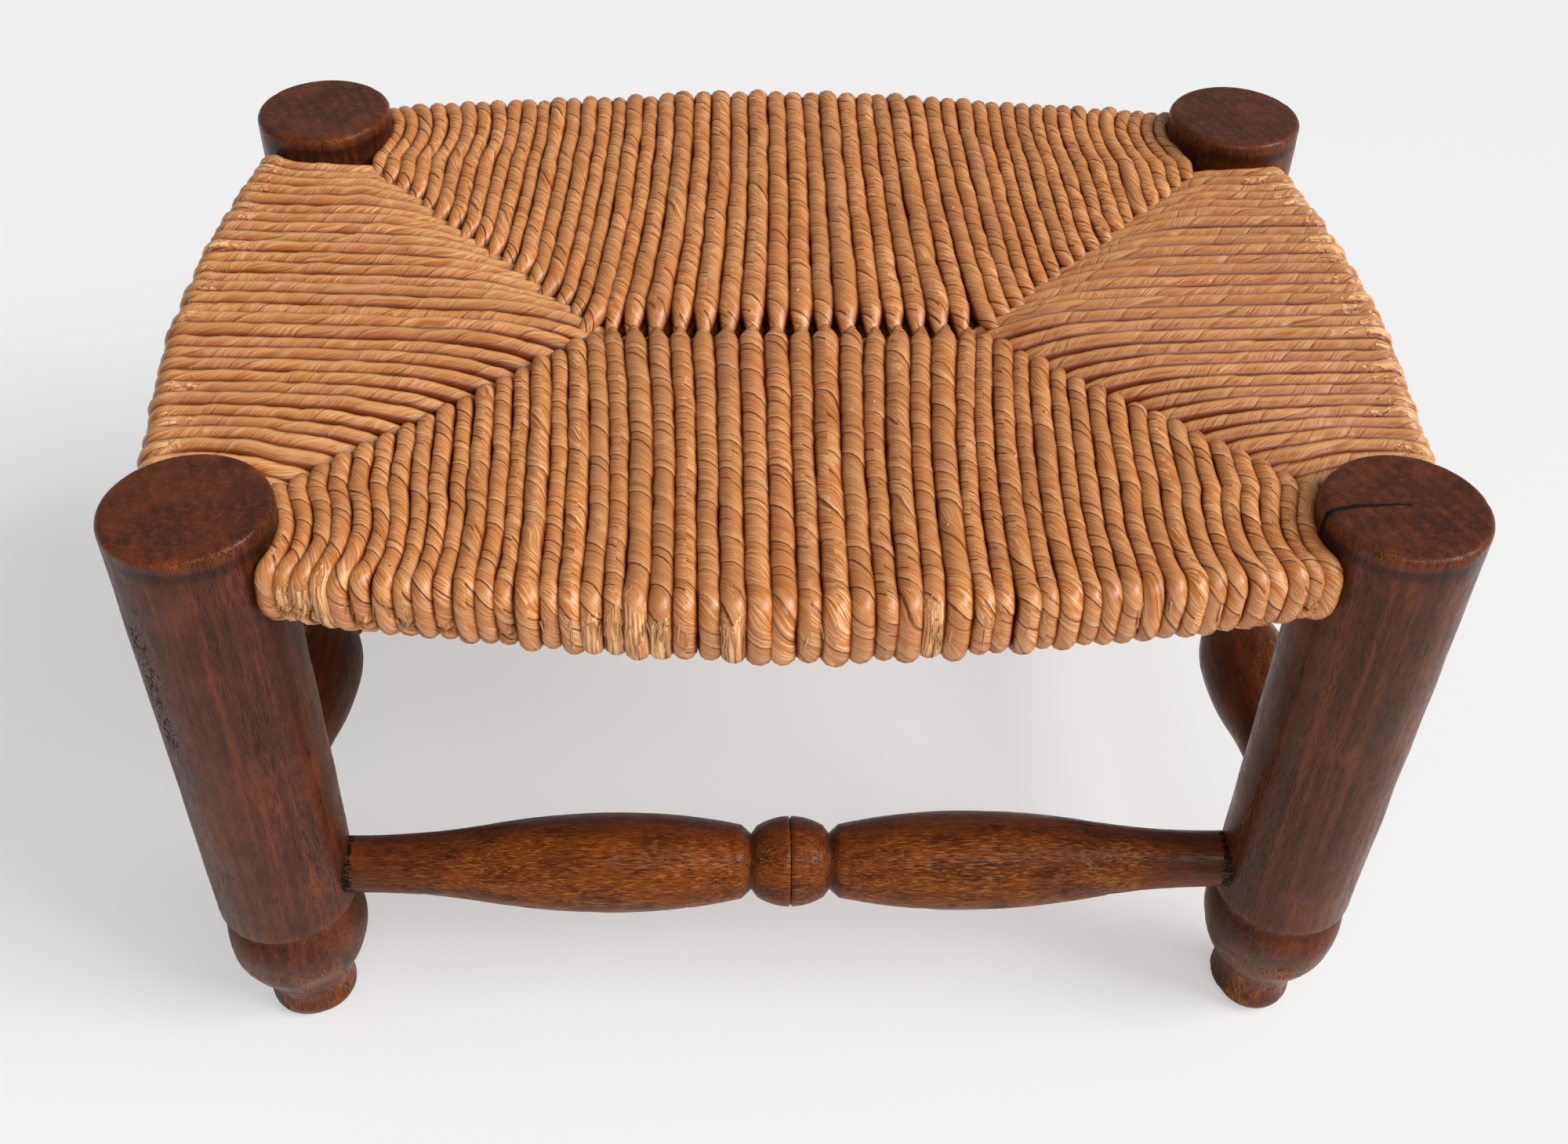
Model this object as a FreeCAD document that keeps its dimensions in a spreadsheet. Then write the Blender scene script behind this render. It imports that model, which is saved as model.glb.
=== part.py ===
import FreeCAD, Part
import math
import os
import Sketcher
from FreeCAD import Placement, Rotation, Vector

# Rush-seated footstool: four turned posts, four turned stretchers, four seat rails,
# and a seat of twisted straw cord worked over the rails and stuffed with straw.
# Origin on the floor under the middle of the seat, X along the long side, Z up, millimetres.

SIZES = {
    # Frame
    "leg_spacing_x": 341.6,
    "leg_spacing_y": 228,
    "stool_height": 230,
    # Post
    "leg_top_radius": 24.2,
    "leg_low_radius": 23.4,
    "leg_top_round": 2.5,
    "shoulder_height": 58,
    "shoulder_round": 2.5,
    # Foot turned on the end of the post
    "foot_neck_radius": 20.3,
    "foot_neck_height": 54.5,
    "foot_bulb_radius": 23.8,
    "foot_bulb_height": 45,
    "foot_ankle_radius": 14.2,
    "foot_ankle_height": 11,
    "foot_ankle_hollow": 25,
    "foot_pad_radius": 14.4,
    "foot_pad_height": 6.5,
    "foot_base_radius": 10.5,
    # Joints
    "tenon_depth": 15,
    "tenon_fit": 0.15,
    "mortise_end_gap": 1,
    "shoulder_gap": 0.3,
    # Turned stretchers
    "front_stretcher_height": 72,
    "side_stretcher_height": 85,
    "bead_radius": 15.1,
    "score_depth": 0.9,
    "score_half_width": 0.5,
    "bead_edge_radius": 12,
    "bead_half_length": 11.2,
    "neck_radius": 9.4,
    "neck_position": 13.2,
    "vase_foot_radius": 12.4,
    "vase_foot_position": 16.5,
    "front_vase_radius": 16.7,
    "front_vase_position": 58,
    "side_vase_radius": 16.2,
    "side_vase_position": 34,
    "stretcher_end_radius": 9.5,
    "stretcher_end_straight": 2,
    # Seat rails
    "rail_drop": 21.5,
    "rail_width": 30,
    "rail_thickness": 16,
    "rail_edge_round": 4.5,
    "front_rail_bow": 13,
    "side_rail_bow": 7,
    "rail_tenon_radius": 7,
    # Rush cord and stuffing
    "cord_diameter": 5.45,
    "cord_gap": 0.3,
    "cord_dip_length": 7,
    "cord_dip_depth": 6.5,
    "pocket_inset": 10,
    "stuffing_tip": 4,
}


class Size:
    """A length with its value and the sheet formula that gives it."""

    def __init__(self, value, formula):
        self.value = value
        self.formula = formula

    def join(self, sign, other, value):
        return Size(value, f"({self.formula} {sign} {other.formula})")

    def __add__(self, other):
        return self.join("+", other, self.value + other.value)

    def __sub__(self, other):
        return self.join("-", other, self.value - other.value)

    def __mul__(self, other):
        return self.join("*", other, self.value * other.value)

    def __truediv__(self, other):
        return self.join("/", other, self.value / other.value)


def half(length):
    return Size(length.value / 2, f"({length.formula} / 2)")


def twice(length):
    return Size(length.value * 2, f"(2 * {length.formula})")


doc = FreeCAD.newDocument("Footstool")
sheet = doc.addObject("Spreadsheet::Sheet", "Sizes")
for row, (alias, number) in enumerate(SIZES.items(), start=1):
    sheet.set(f"A{row}", alias)
    sheet.set(f"B{row}", str(number))
    sheet.setAlias(f"B{row}", alias)
doc.recompute()


def size(alias):
    return Size(float(getattr(sheet, alias)), f"Sizes.{alias}")


NONE = Size(0, "0")

# Distances shared by pieces that meet
half_x = half(size("leg_spacing_x"))
half_y = half(size("leg_spacing_y"))
rail_height = size("stool_height") - size("rail_drop")
tenon_stop = size("leg_top_radius") - size("tenon_depth")
mortise_stop = tenon_stop - size("mortise_end_gap")
rail_mortise_radius = size("rail_tenon_radius") + size("tenon_fit")
stretcher_mortise_radius = size("stretcher_end_radius") + size("tenon_fit")
post_clear = size("leg_top_radius") + size("shoulder_gap")


def origin_plane(body, role):
    return next(plane for plane in body.Origin.OriginFeatures if plane.Role == role)


def add_sketch(body, name, role, offset=NONE, sign=1):
    """Sketch on an origin plane of the body, moved along the plane's normal."""
    sketch = body.newObject("Sketcher::SketchObject", name)
    sketch.AttachmentSupport = [(origin_plane(body, role), "")]
    sketch.MapMode = "FlatFace"
    sketch.setExpression(".AttachmentOffset.Base.z", f"{sign} * {offset.formula}")
    return sketch


def bind(sketch, constraint, length):
    index = sketch.addConstraint(constraint)
    sketch.setExpression(f"Constraints[{index}]", length.formula)


def pin(sketch, geometry, point, across, up):
    """Holds a point at two distances from the sketch's origin; NONE puts it on an axis."""
    if across is NONE:
        sketch.addConstraint(Sketcher.Constraint("PointOnObject", geometry, point, -2))
    else:
        bind(sketch, Sketcher.Constraint("DistanceX", -1, 1, geometry, point, across.value), across)
    if up is NONE:
        sketch.addConstraint(Sketcher.Constraint("PointOnObject", geometry, point, -1))
    else:
        bind(sketch, Sketcher.Constraint("DistanceY", -1, 1, geometry, point, up.value), up)


def flat(across, up):
    return Vector(across.value, up.value, 0)


def add_line(sketch, start, end):
    return sketch.addGeometry(Part.LineSegment(start, end))


def add_arc(sketch, start, end, centre):
    """Arc of less than half a turn; returns its index and its ends in the order given."""
    first = math.atan2(start.y - centre.y, start.x - centre.x)
    last = math.atan2(end.y - centre.y, end.x - centre.x)
    forward = (last - first) % math.tau < math.pi
    span = (first, last) if forward else (last, first)
    circle = Part.Circle(centre, Vector(0, 0, 1), (start - centre).Length)
    geometry = sketch.addGeometry(Part.ArcOfCircle(circle, *span))
    return (geometry, 1, 2) if forward else (geometry, 2, 1)


def join(sketch, first, first_point, second, second_point, kind="Coincident"):
    sketch.addConstraint(Sketcher.Constraint(kind, first, first_point, second, second_point))


def level_centre(start, end, up):
    """Centre, at height up, of an arc through two points."""
    across = (start.x**2 + (start.y - up) ** 2 - end.x**2 - (end.y - up) ** 2) / (2 * (start.x - end.x))
    return Vector(across, up, 0)


def upright_centre(start, end, across):
    """Centre, at the distance across, of an arc through two points."""
    up = (start.y**2 + (start.x - across) ** 2 - end.y**2 - (end.x - across) ** 2) / (2 * (start.y - end.y))
    return Vector(across, up, 0)


def meeting_point(first_centre, first_radius, second_centre):
    """Point where two arcs that curve opposite ways run into each other."""
    towards = second_centre - first_centre
    return first_centre + towards * (first_radius / towards.Length)


def spin(body, sketch, name, axis):
    """Turns a closed half profile right round an axis of its sketch."""
    turned = body.newObject("PartDesign::Revolution", name)
    turned.Profile = sketch
    turned.ReferenceAxis = (sketch, [axis])
    turned.Angle = 360
    return turned


def draw_post_profile(sketch):
    """Half outline of post and foot: top edge, tapered shaft, groove, bulb, ankle and pad."""
    height = size("stool_height")
    top_radius = size("leg_top_radius")
    top_round = size("leg_top_round")
    low_radius = size("leg_low_radius")
    shoulder = size("shoulder_height")
    shoulder_round = size("shoulder_round")
    bulb_height = size("foot_bulb_height")
    ankle_height = size("foot_ankle_height")
    pad_height = size("foot_pad_height")

    crown = (top_radius - top_round, height)
    edge = (top_radius, height - top_round)
    shaft_end = (low_radius, shoulder + shoulder_round)
    shoulder_in = (low_radius - shoulder_round, shoulder)
    groove = (size("foot_neck_radius"), size("foot_neck_height"))
    bulb = (size("foot_bulb_radius"), bulb_height)
    ankle = (size("foot_ankle_radius"), ankle_height)
    pad = (size("foot_pad_radius"), pad_height)
    base = (size("foot_base_radius"), NONE)

    top = add_line(sketch, Vector(0, height.value, 0), flat(*crown))
    round_in, round_start, round_end = add_arc(
        sketch, flat(*crown), flat(*edge), flat(crown[0], edge[1]))
    shaft = add_line(sketch, flat(*edge), flat(*shaft_end))
    turn_in, turn_start, turn_end = add_arc(
        sketch, flat(*shaft_end), flat(*shoulder_in), flat(shoulder_in[0], shaft_end[1]))
    bevel = add_line(sketch, flat(*shoulder_in), flat(*groove))
    swell_centre = level_centre(flat(*groove), flat(*bulb), bulb_height.value)
    swell, swell_start, swell_end = add_arc(sketch, flat(*groove), flat(*bulb), swell_centre)

    hollow = size("foot_ankle_hollow")
    drop = bulb_height.value - ankle_height.value
    step = bulb[0].value - ankle[0].value
    reach = (drop**2 + step**2) / (2 * step)
    hollow_centre = Vector(ankle[0].value + hollow.value, ankle_height.value, 0)
    taper_centre = Vector(bulb[0].value - reach + hollow.value, bulb_height.value, 0)
    meet = meeting_point(taper_centre, bulb[0].value - taper_centre.x, hollow_centre)
    taper, taper_start, taper_end = add_arc(sketch, flat(*bulb), meet, taper_centre)
    waist, waist_start, waist_end = add_arc(sketch, meet, flat(*ankle), hollow_centre)

    flare = add_line(sketch, flat(*ankle), flat(*pad))
    toe_centre = level_centre(flat(*pad), flat(*base), pad_height.value)
    toe, toe_start, toe_end = add_arc(sketch, flat(*pad), flat(*base), toe_centre)
    sole = add_line(sketch, flat(*base), Vector(0, 0, 0))
    axis = add_line(sketch, Vector(0, 0, 0), Vector(0, height.value, 0))

    join(sketch, top, 2, round_in, round_start)
    join(sketch, round_in, round_end, shaft, 1)
    join(sketch, shaft, 2, turn_in, turn_start)
    join(sketch, turn_in, turn_end, bevel, 1)
    join(sketch, bevel, 2, swell, swell_start)
    join(sketch, swell, swell_end, taper, taper_start)
    join(sketch, taper, taper_end, waist, waist_start, "Tangent")
    join(sketch, waist, waist_end, flare, 1)
    join(sketch, flare, 2, toe, toe_start)
    join(sketch, toe, toe_end, sole, 1)
    join(sketch, sole, 2, axis, 1)
    join(sketch, axis, 2, top, 1)

    pin(sketch, top, 1, NONE, height)
    pin(sketch, top, 2, *crown)
    pin(sketch, shaft, 1, *edge)
    pin(sketch, shaft, 2, *shaft_end)
    pin(sketch, bevel, 1, *shoulder_in)
    pin(sketch, bevel, 2, *groove)
    pin(sketch, taper, taper_start, *bulb)
    pin(sketch, flare, 1, *ankle)
    pin(sketch, flare, 2, *pad)
    pin(sketch, sole, 1, *base)
    pin(sketch, sole, 2, NONE, NONE)
    for arc, centre_height in (
        (round_in, edge[1]),
        (turn_in, shaft_end[1]),
        (swell, bulb_height),
        (taper, bulb_height),
        (waist, ankle_height),
        (toe, pad_height),
    ):
        bind(sketch, Sketcher.Constraint("DistanceY", -1, 1, arc, 3, centre_height.value), centre_height)
    bind(sketch, Sketcher.Constraint("Radius", waist, hollow.value), hollow)


def bore_mortises(body, name, role, sign, reverse, stretcher_height):
    """Bores the round sockets of one rail and one stretcher into the post from its inner side."""
    sketch = add_sketch(body, f"{name}_sockets", role, mortise_stop, sign)
    for radius, height in (
        (rail_mortise_radius, rail_height),
        (stretcher_mortise_radius, stretcher_height),
    ):
        centre = Vector(0, height.value, 0)
        circle = sketch.addGeometry(Part.Circle(centre, Vector(0, 0, 1), radius.value))
        pin(sketch, circle, 3, NONE, height)
        bind(sketch, Sketcher.Constraint("Radius", circle, radius.value), radius)
    bore = body.newObject("PartDesign::Pocket", name)
    bore.Profile = sketch
    bore.Reversed = reverse
    bore.setExpression("Length", "Sizes.leg_top_radius")


def place(piece, across, along, height, turn=0):
    """Sets a piece by formulas for its three coordinates, turned about the upright axis."""
    piece.Placement = Placement(Vector(0, 0, 0), Rotation(Vector(0, 0, 1), turn))
    piece.setExpression(".Placement.Base.x", across)
    piece.setExpression(".Placement.Base.y", along)
    piece.setExpression(".Placement.Base.z", height)


def make_leg(label, x_side, y_side):
    """One post: turned from a single billet, then bored on its two inner sides."""
    body = doc.addObject("PartDesign::Body", label)
    profile = add_sketch(body, f"{label}_profile", "XZ_Plane")
    draw_post_profile(profile)
    spin(body, profile, f"{label}_turning", "V_Axis")
    doc.recompute()
    turned_volume = body.Shape.Volume
    bore_mortises(body, f"{label}_long_bores", "YZ_Plane", -x_side, x_side < 0, size("front_stretcher_height"))
    doc.recompute()
    long_volume = body.Shape.Volume
    bore_mortises(body, f"{label}_short_bores", "XZ_Plane", y_side, y_side > 0, size("side_stretcher_height"))
    doc.recompute()
    if not turned_volume > long_volume > body.Shape.Volume:
        raise RuntimeError(f"{label}: a socket cuts nothing")
    place(body, f"{x_side} * {half_x.formula}", f"{y_side} * {half_y.formula}", "0")
    return body


def draw_stretcher_profile(sketch, half_span, vase_radius, vase_position):
    """Half of half a stretcher: scored bead at the middle, neck, vase, slim end and tenon."""
    end_radius = size("stretcher_end_radius")
    tail_position = half_span - size("leg_top_radius") - size("stretcher_end_straight")
    bead_edge = (size("bead_half_length"), size("bead_edge_radius"))
    neck = (size("neck_position"), size("neck_radius"))
    foot = (size("vase_foot_position"), size("vase_foot_radius"))
    peak = (vase_position, vase_radius)
    tail = (tail_position, end_radius)
    tip = (half_span - tenon_stop, end_radius)

    score = (NONE, size("bead_radius") - size("score_depth"))
    bead_top = (size("score_half_width"), size("bead_radius"))
    core = add_line(sketch, Vector(0, 0, 0), flat(*score))
    flank = add_line(sketch, flat(*score), flat(*bead_top))
    bead_centre = upright_centre(flat(*bead_top), flat(*bead_edge), 0)
    bead, bead_start, bead_end = add_arc(sketch, flat(*bead_top), flat(*bead_edge), bead_centre)
    fall = add_line(sketch, flat(*bead_edge), flat(*neck))
    rise = add_line(sketch, flat(*neck), flat(*foot))
    swell_centre = upright_centre(flat(*foot), flat(*peak), vase_position.value)
    swell, swell_start, swell_end = add_arc(sketch, flat(*foot), flat(*peak), swell_centre)

    length = tail_position.value - vase_position.value
    drop = vase_radius.value - end_radius.value
    curve_radius = (length**2 + drop**2) / (4 * drop)
    belly_centre = flat(*peak) - Vector(0, curve_radius, 0)
    tail_centre = flat(*tail) + Vector(0, curve_radius, 0)
    meet = meeting_point(belly_centre, curve_radius, tail_centre)
    belly, belly_start, belly_end = add_arc(sketch, flat(*peak), meet, belly_centre)
    sweep, sweep_start, sweep_end = add_arc(sketch, meet, flat(*tail), tail_centre)
    tenon = add_line(sketch, flat(*tail), flat(*tip))
    end = add_line(sketch, flat(*tip), Vector(tip[0].value, 0, 0))
    axis = add_line(sketch, Vector(tip[0].value, 0, 0), Vector(0, 0, 0))

    join(sketch, core, 2, flank, 1)
    join(sketch, flank, 2, bead, bead_start)
    join(sketch, bead, bead_end, fall, 1)
    join(sketch, fall, 2, rise, 1)
    join(sketch, rise, 2, swell, swell_start)
    join(sketch, swell, swell_end, belly, belly_start)
    join(sketch, belly, belly_end, sweep, sweep_start, "Tangent")
    join(sketch, sweep, sweep_end, tenon, 1)
    join(sketch, tenon, 2, end, 1)
    join(sketch, end, 2, axis, 1)
    join(sketch, axis, 2, core, 1)

    pin(sketch, core, 1, NONE, NONE)
    pin(sketch, core, 2, *score)
    pin(sketch, flank, 2, *bead_top)
    pin(sketch, fall, 1, *bead_edge)
    pin(sketch, rise, 1, *neck)
    pin(sketch, rise, 2, *foot)
    pin(sketch, belly, belly_start, *peak)
    pin(sketch, tenon, 1, *tail)
    pin(sketch, tenon, 2, *tip)
    pin(sketch, end, 2, tip[0], NONE)
    sketch.addConstraint(Sketcher.Constraint("PointOnObject", bead, 3, -2))
    for arc, position in ((swell, vase_position), (belly, vase_position), (sweep, tail_position)):
        bind(sketch, Sketcher.Constraint("DistanceX", -1, 1, arc, 3, position.value), position)


def make_stretcher(label, half_span, vase_radius, vase_position, across, along, height, turn):
    """One turned rung, the same on both sides of its bead."""
    body = doc.addObject("PartDesign::Body", label)
    profile = add_sketch(body, f"{label}_profile", "XZ_Plane")
    draw_stretcher_profile(profile, half_span, vase_radius, vase_position)
    turning = spin(body, profile, f"{label}_turning", "H_Axis")
    doc.recompute()
    mirrored = body.newObject("PartDesign::Mirrored", f"{label}_other_half")
    mirrored.Originals = [turning]
    mirrored.MirrorPlane = (origin_plane(body, "YZ_Plane"), [""])
    body.Tip = mirrored
    place(body, across, along, height, turn)
    return body


def pad(body, sketch, name, length):
    """Extrudes a sketch by the same amount to both sides of its plane."""
    feature = body.newObject("PartDesign::Pad", name)
    feature.Profile = sketch
    feature.SideType = "Symmetric"
    feature.setExpression("Length", length.formula)
    return feature


def draw_rail_plan(sketch, half_length, bow):
    """Plan of a rail: straight inner edge, square ends and an outer edge that bows out."""
    width = size("rail_width")
    half_width = half(width)
    bow_radius = (half_length * half_length + bow * bow) / twice(bow)
    left = -half_length.value
    right = half_length.value
    inner = add_line(sketch, Vector(left, -half_width.value, 0), Vector(right, -half_width.value, 0))
    right_end = add_line(sketch, Vector(right, -half_width.value, 0), Vector(right, half_width.value, 0))
    centre = Vector(0, half_width.value + bow.value - bow_radius.value, 0)
    outer, outer_start, outer_end = add_arc(
        sketch, Vector(right, half_width.value, 0), Vector(left, half_width.value, 0), centre)
    left_end = add_line(sketch, Vector(left, half_width.value, 0), Vector(left, -half_width.value, 0))
    join(sketch, inner, 2, right_end, 1)
    join(sketch, right_end, 2, outer, outer_start)
    join(sketch, outer, outer_end, left_end, 1)
    join(sketch, left_end, 2, inner, 1)
    sketch.addConstraint(Sketcher.Constraint("Symmetric", inner, 1, inner, 2, -2))
    sketch.addConstraint(Sketcher.Constraint("Symmetric", right_end, 1, right_end, 2, -1))
    sketch.addConstraint(Sketcher.Constraint("Vertical", left_end))
    sketch.addConstraint(Sketcher.Constraint("PointOnObject", outer, 3, -2))
    bind(sketch, Sketcher.Constraint("DistanceX", inner, 1, inner, 2, 2 * right), twice(half_length))
    bind(sketch, Sketcher.Constraint("DistanceY", right_end, 1, right_end, 2, width.value), width)
    bind(sketch, Sketcher.Constraint("Radius", outer, bow_radius.value), bow_radius)


def make_rail(label, half_span, bow, across, along, turn):
    """One flat seat rail, eased along its edges, with a round tenon at each end."""
    body = doc.addObject("PartDesign::Body", label)
    plan = add_sketch(body, f"{label}_plan", "XY_Plane")
    draw_rail_plan(plan, half_span - post_clear, bow)
    plank = pad(body, plan, f"{label}_plank", size("rail_thickness"))
    doc.recompute()
    half_thickness = size("rail_thickness").value / 2
    long_edges = [
        f"Edge{number}"
        for number, edge in enumerate(plank.Shape.Edges, start=1)
        if abs(abs(edge.CenterOfMass.z) - half_thickness) < 1e-6 and abs(edge.CenterOfMass.x) < 1e-6
    ]
    eased = body.newObject("PartDesign::Fillet", f"{label}_eased")
    eased.Base = (plank, long_edges)
    eased.setExpression("Radius", "Sizes.rail_edge_round")
    doc.recompute()
    round_sketch = add_sketch(body, f"{label}_tenon_round", "YZ_Plane")
    tenon_radius = size("rail_tenon_radius")
    circle = round_sketch.addGeometry(Part.Circle(Vector(0, 0, 0), Vector(0, 0, 1), tenon_radius.value))
    join(round_sketch, circle, 3, -1, 1)
    bind(round_sketch, Sketcher.Constraint("Radius", circle, tenon_radius.value), tenon_radius)
    pad(body, round_sketch, f"{label}_tenons", twice(half_span - tenon_stop))
    place(body, across, along, rail_height.formula, turn)
    return body


def make_stuffing(label, near, near_half, far, far_half, turn):
    """One wad of straw in the pocket between the two layers of cord."""
    body = doc.addObject("PartDesign::Body", label)
    plan = add_sketch(body, f"{label}_plan", "XY_Plane")
    corners = (
        Vector(-near_half.value, near.value, 0),
        Vector(near_half.value, near.value, 0),
        Vector(far_half.value, far.value, 0),
        Vector(-far_half.value, far.value, 0),
    )
    sides = [add_line(plan, corners[k], corners[(k + 1) % 4]) for k in range(4)]
    for k in range(4):
        join(plan, sides[k], 2, sides[(k + 1) % 4], 1)
    plan.addConstraint(Sketcher.Constraint("Symmetric", sides[0], 1, sides[0], 2, -2))
    plan.addConstraint(Sketcher.Constraint("Symmetric", sides[2], 1, sides[2], 2, -2))
    pin(plan, sides[1], 1, near_half, near)
    pin(plan, sides[1], 2, far_half, far)
    pad(body, plan, f"{label}_wad", size("rail_thickness"))
    place(body, "0", "0", rail_height.formula, turn)
    return body


# The seat's cord: a turn on every rail for each cord's width, counted out from the posts
cord_step = size("cord_diameter").value + size("cord_gap").value
long_end = half_x.value - post_clear.value
short_end = half_y.value - post_clear.value
corner_turns = int(short_end / cord_step)
long_turns = 2 * int(long_end / cord_step)
short_turns = 2 * corner_turns
long_step = 2 * long_end / long_turns
short_step = 2 * short_end / short_turns
bridge_half = long_end - corner_turns * long_step
cord_radius = size("cord_diameter").value / 2
cord_half_height = cord_radius * math.cos(math.pi / 6)
SIDES = 6


def make_turn(across, outer, inner):
    """One turn of cord round a rail: down into the seat, out over, round and back under."""
    dip_length = size("cord_dip_length").value
    layer = size("rail_thickness").value / 2 + size("cord_gap").value + cord_half_height
    bend = (2 - math.sqrt(2)) * (size("rail_edge_round").value + size("cord_gap").value + cord_half_height)
    upper = [
        (inner + cord_half_height, layer - size("cord_dip_depth").value),
        (inner + cord_half_height + dip_length, layer),
        (outer - bend, layer),
        (outer, layer - bend),
    ]
    lower = [(along, -height) for along, height in reversed(upper)]
    points = [Vector(across, along, height) for along, height in upper + lower]
    start = points[0]
    side = Vector(1, 0, 0)
    rise = (points[1] - start).normalize().cross(side)
    corners = [
        start + side * (cord_radius * math.cos(turn)) + rise * (cord_radius * math.sin(turn))
        for turn in (math.tau * k / SIDES for k in range(SIDES))
    ]
    section = Part.makePolygon(corners + [corners[0]])
    return Part.makePolygon(points).makePipeShell([section], True, False, 1)


def make_rush(label, turns, step, half_span, end, bow, stops, turn):
    """All the turns over one rail, each stopping where it dips between the other rails' turns."""
    bow_radius = (end**2 + bow**2) / (2 * bow)
    edge = half_span + size("rail_width").value / 2 + 2 * size("cord_gap").value + cord_half_height
    solids = []
    for number in range(turns):
        across = -end + (number + 0.5) * step
        swell = bow - bow_radius + math.sqrt(bow_radius**2 - across**2)
        solids.append(make_turn(across, edge + swell, stops[min(number, turns - 1 - number)]))
    field = doc.addObject("Part::Feature", label)
    field.Shape = Part.makeCompound(solids)
    field.Placement = Placement(Vector(0, 0, rail_height.value), Rotation(Vector(0, 0, 1), turn))
    return field


half_gap = size("cord_gap").value / 2
long_stops = [
    short_end - (k + 0.5) * short_step + cord_radius + half_gap if k < corner_turns else half_gap
    for k in range(long_turns // 2)
]
short_stops = [long_end - (k + 0.5) * long_step - cord_radius for k in range(corner_turns)]

front_height = "Sizes.front_stretcher_height"
side_height = "Sizes.side_stretcher_height"
front_vase = (size("front_vase_radius"), size("front_vase_position"))
side_vase = (size("side_vase_radius"), size("side_vase_position"))
front_bow = size("front_rail_bow")
side_bow = size("side_rail_bow")
inset = size("pocket_inset")
rail_inner = half(size("rail_width")) + size("cord_gap")
front_far = half_y - rail_inner
side_far = half_x - rail_inner

pieces = []
for front_or_back, y_side in (("front", -1), ("back", 1)):
    for hand, x_side in (("left", -1), ("right", 1)):
        pieces.append(make_leg(f"leg_{front_or_back}_{hand}", x_side, y_side))

for side, y_side, turn in (("front", -1, 180), ("back", 1, 0)):
    line = f"{y_side} * {half_y.formula}"
    pieces.append(make_stretcher(f"stretcher_{side}", half_x, *front_vase, "0", line, front_height, turn))
    pieces.append(make_rail(f"rail_{side}", half_x, front_bow, "0", line, turn))

for side, x_side, turn in (("left", -1, 90), ("right", 1, -90)):
    line = f"{x_side} * {half_x.formula}"
    pieces.append(make_stretcher(f"stretcher_{side}", half_y, *side_vase, line, "0", side_height, turn))
    pieces.append(make_rail(f"rail_{side}", half_y, side_bow, line, "0", turn))

bridge = Size(bridge_half, f"{bridge_half}")
slope = (long_end - bridge_half) / short_end
lean = Size(slope, f"{slope}")
front_near_half = bridge - inset
front_far_half = front_near_half + (front_far - inset) * lean
side_near = bridge + inset + inset
side_far_half = size("stuffing_tip") + (side_far - side_near) / lean
for side, turn in (("front", 180), ("back", 0)):
    pieces.append(make_stuffing(f"stuffing_{side}", inset, front_near_half, front_far, front_far_half, turn))
    pieces.append(make_rush(
        f"rush_{side}", long_turns, long_step, half_y.value, long_end, front_bow.value, long_stops, turn))
for side, turn in (("left", 90), ("right", -90)):
    pieces.append(make_stuffing(
        f"stuffing_{side}", side_near, size("stuffing_tip"), side_far, side_far_half, turn))
    pieces.append(make_rush(
        f"rush_{side}", short_turns, short_step, half_x.value, short_end, side_bow.value, short_stops, turn))

doc.recompute()
for item in doc.Objects:
    if "Invalid" in item.State or "Error" in item.State:
        raise RuntimeError(f"{item.Label} failed: {item.State}")
for piece in pieces:
    if piece.Shape.isNull() or not piece.Shape.isValid():
        raise RuntimeError(f"{piece.Label} has no valid shape")

os.makedirs("parts", exist_ok=True)
for piece in pieces:
    piece.Shape.exportStep(f"parts/{piece.Label}.step")
print(f"{len(pieces)} pieces, {2 * (long_turns + short_turns)} turns of cord")
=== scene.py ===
# %% [markdown]
# # A rush-seated footstool
# Four turned posts, four turned stretchers and a seat of twisted straw cord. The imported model
# gives the place and size of every piece, and this lesson dresses it: lathe-turned wood with
# stain, wax and wear, and a cord whose straw ribbon can be seen winding round its core.

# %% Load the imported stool
import math
from collections import namedtuple
from functools import partial

import bpy
import numpy as np
from mathutils import Matrix, Vector, noise


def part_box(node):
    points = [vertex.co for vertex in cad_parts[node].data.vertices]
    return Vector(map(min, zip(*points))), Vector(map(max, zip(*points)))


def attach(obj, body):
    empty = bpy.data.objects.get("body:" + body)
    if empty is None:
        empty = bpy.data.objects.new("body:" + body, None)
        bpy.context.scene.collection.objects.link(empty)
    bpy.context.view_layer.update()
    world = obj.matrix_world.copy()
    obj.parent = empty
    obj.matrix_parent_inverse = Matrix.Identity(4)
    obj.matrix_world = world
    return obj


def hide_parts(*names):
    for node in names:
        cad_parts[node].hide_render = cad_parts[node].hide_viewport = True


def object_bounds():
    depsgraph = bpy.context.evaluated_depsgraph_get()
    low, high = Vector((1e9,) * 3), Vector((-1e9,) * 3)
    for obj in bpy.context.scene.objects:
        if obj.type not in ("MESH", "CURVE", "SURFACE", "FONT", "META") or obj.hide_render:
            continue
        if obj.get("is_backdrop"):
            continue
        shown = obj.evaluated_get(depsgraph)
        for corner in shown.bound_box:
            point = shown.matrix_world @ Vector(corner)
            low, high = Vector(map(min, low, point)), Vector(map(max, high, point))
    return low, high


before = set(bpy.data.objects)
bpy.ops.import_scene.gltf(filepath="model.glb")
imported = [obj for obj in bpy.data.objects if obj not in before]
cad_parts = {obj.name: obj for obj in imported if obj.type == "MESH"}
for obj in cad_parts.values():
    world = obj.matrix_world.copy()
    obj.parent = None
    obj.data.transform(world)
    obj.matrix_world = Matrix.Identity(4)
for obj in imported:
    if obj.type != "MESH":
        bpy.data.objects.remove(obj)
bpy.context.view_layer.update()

MM = 0.001

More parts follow.
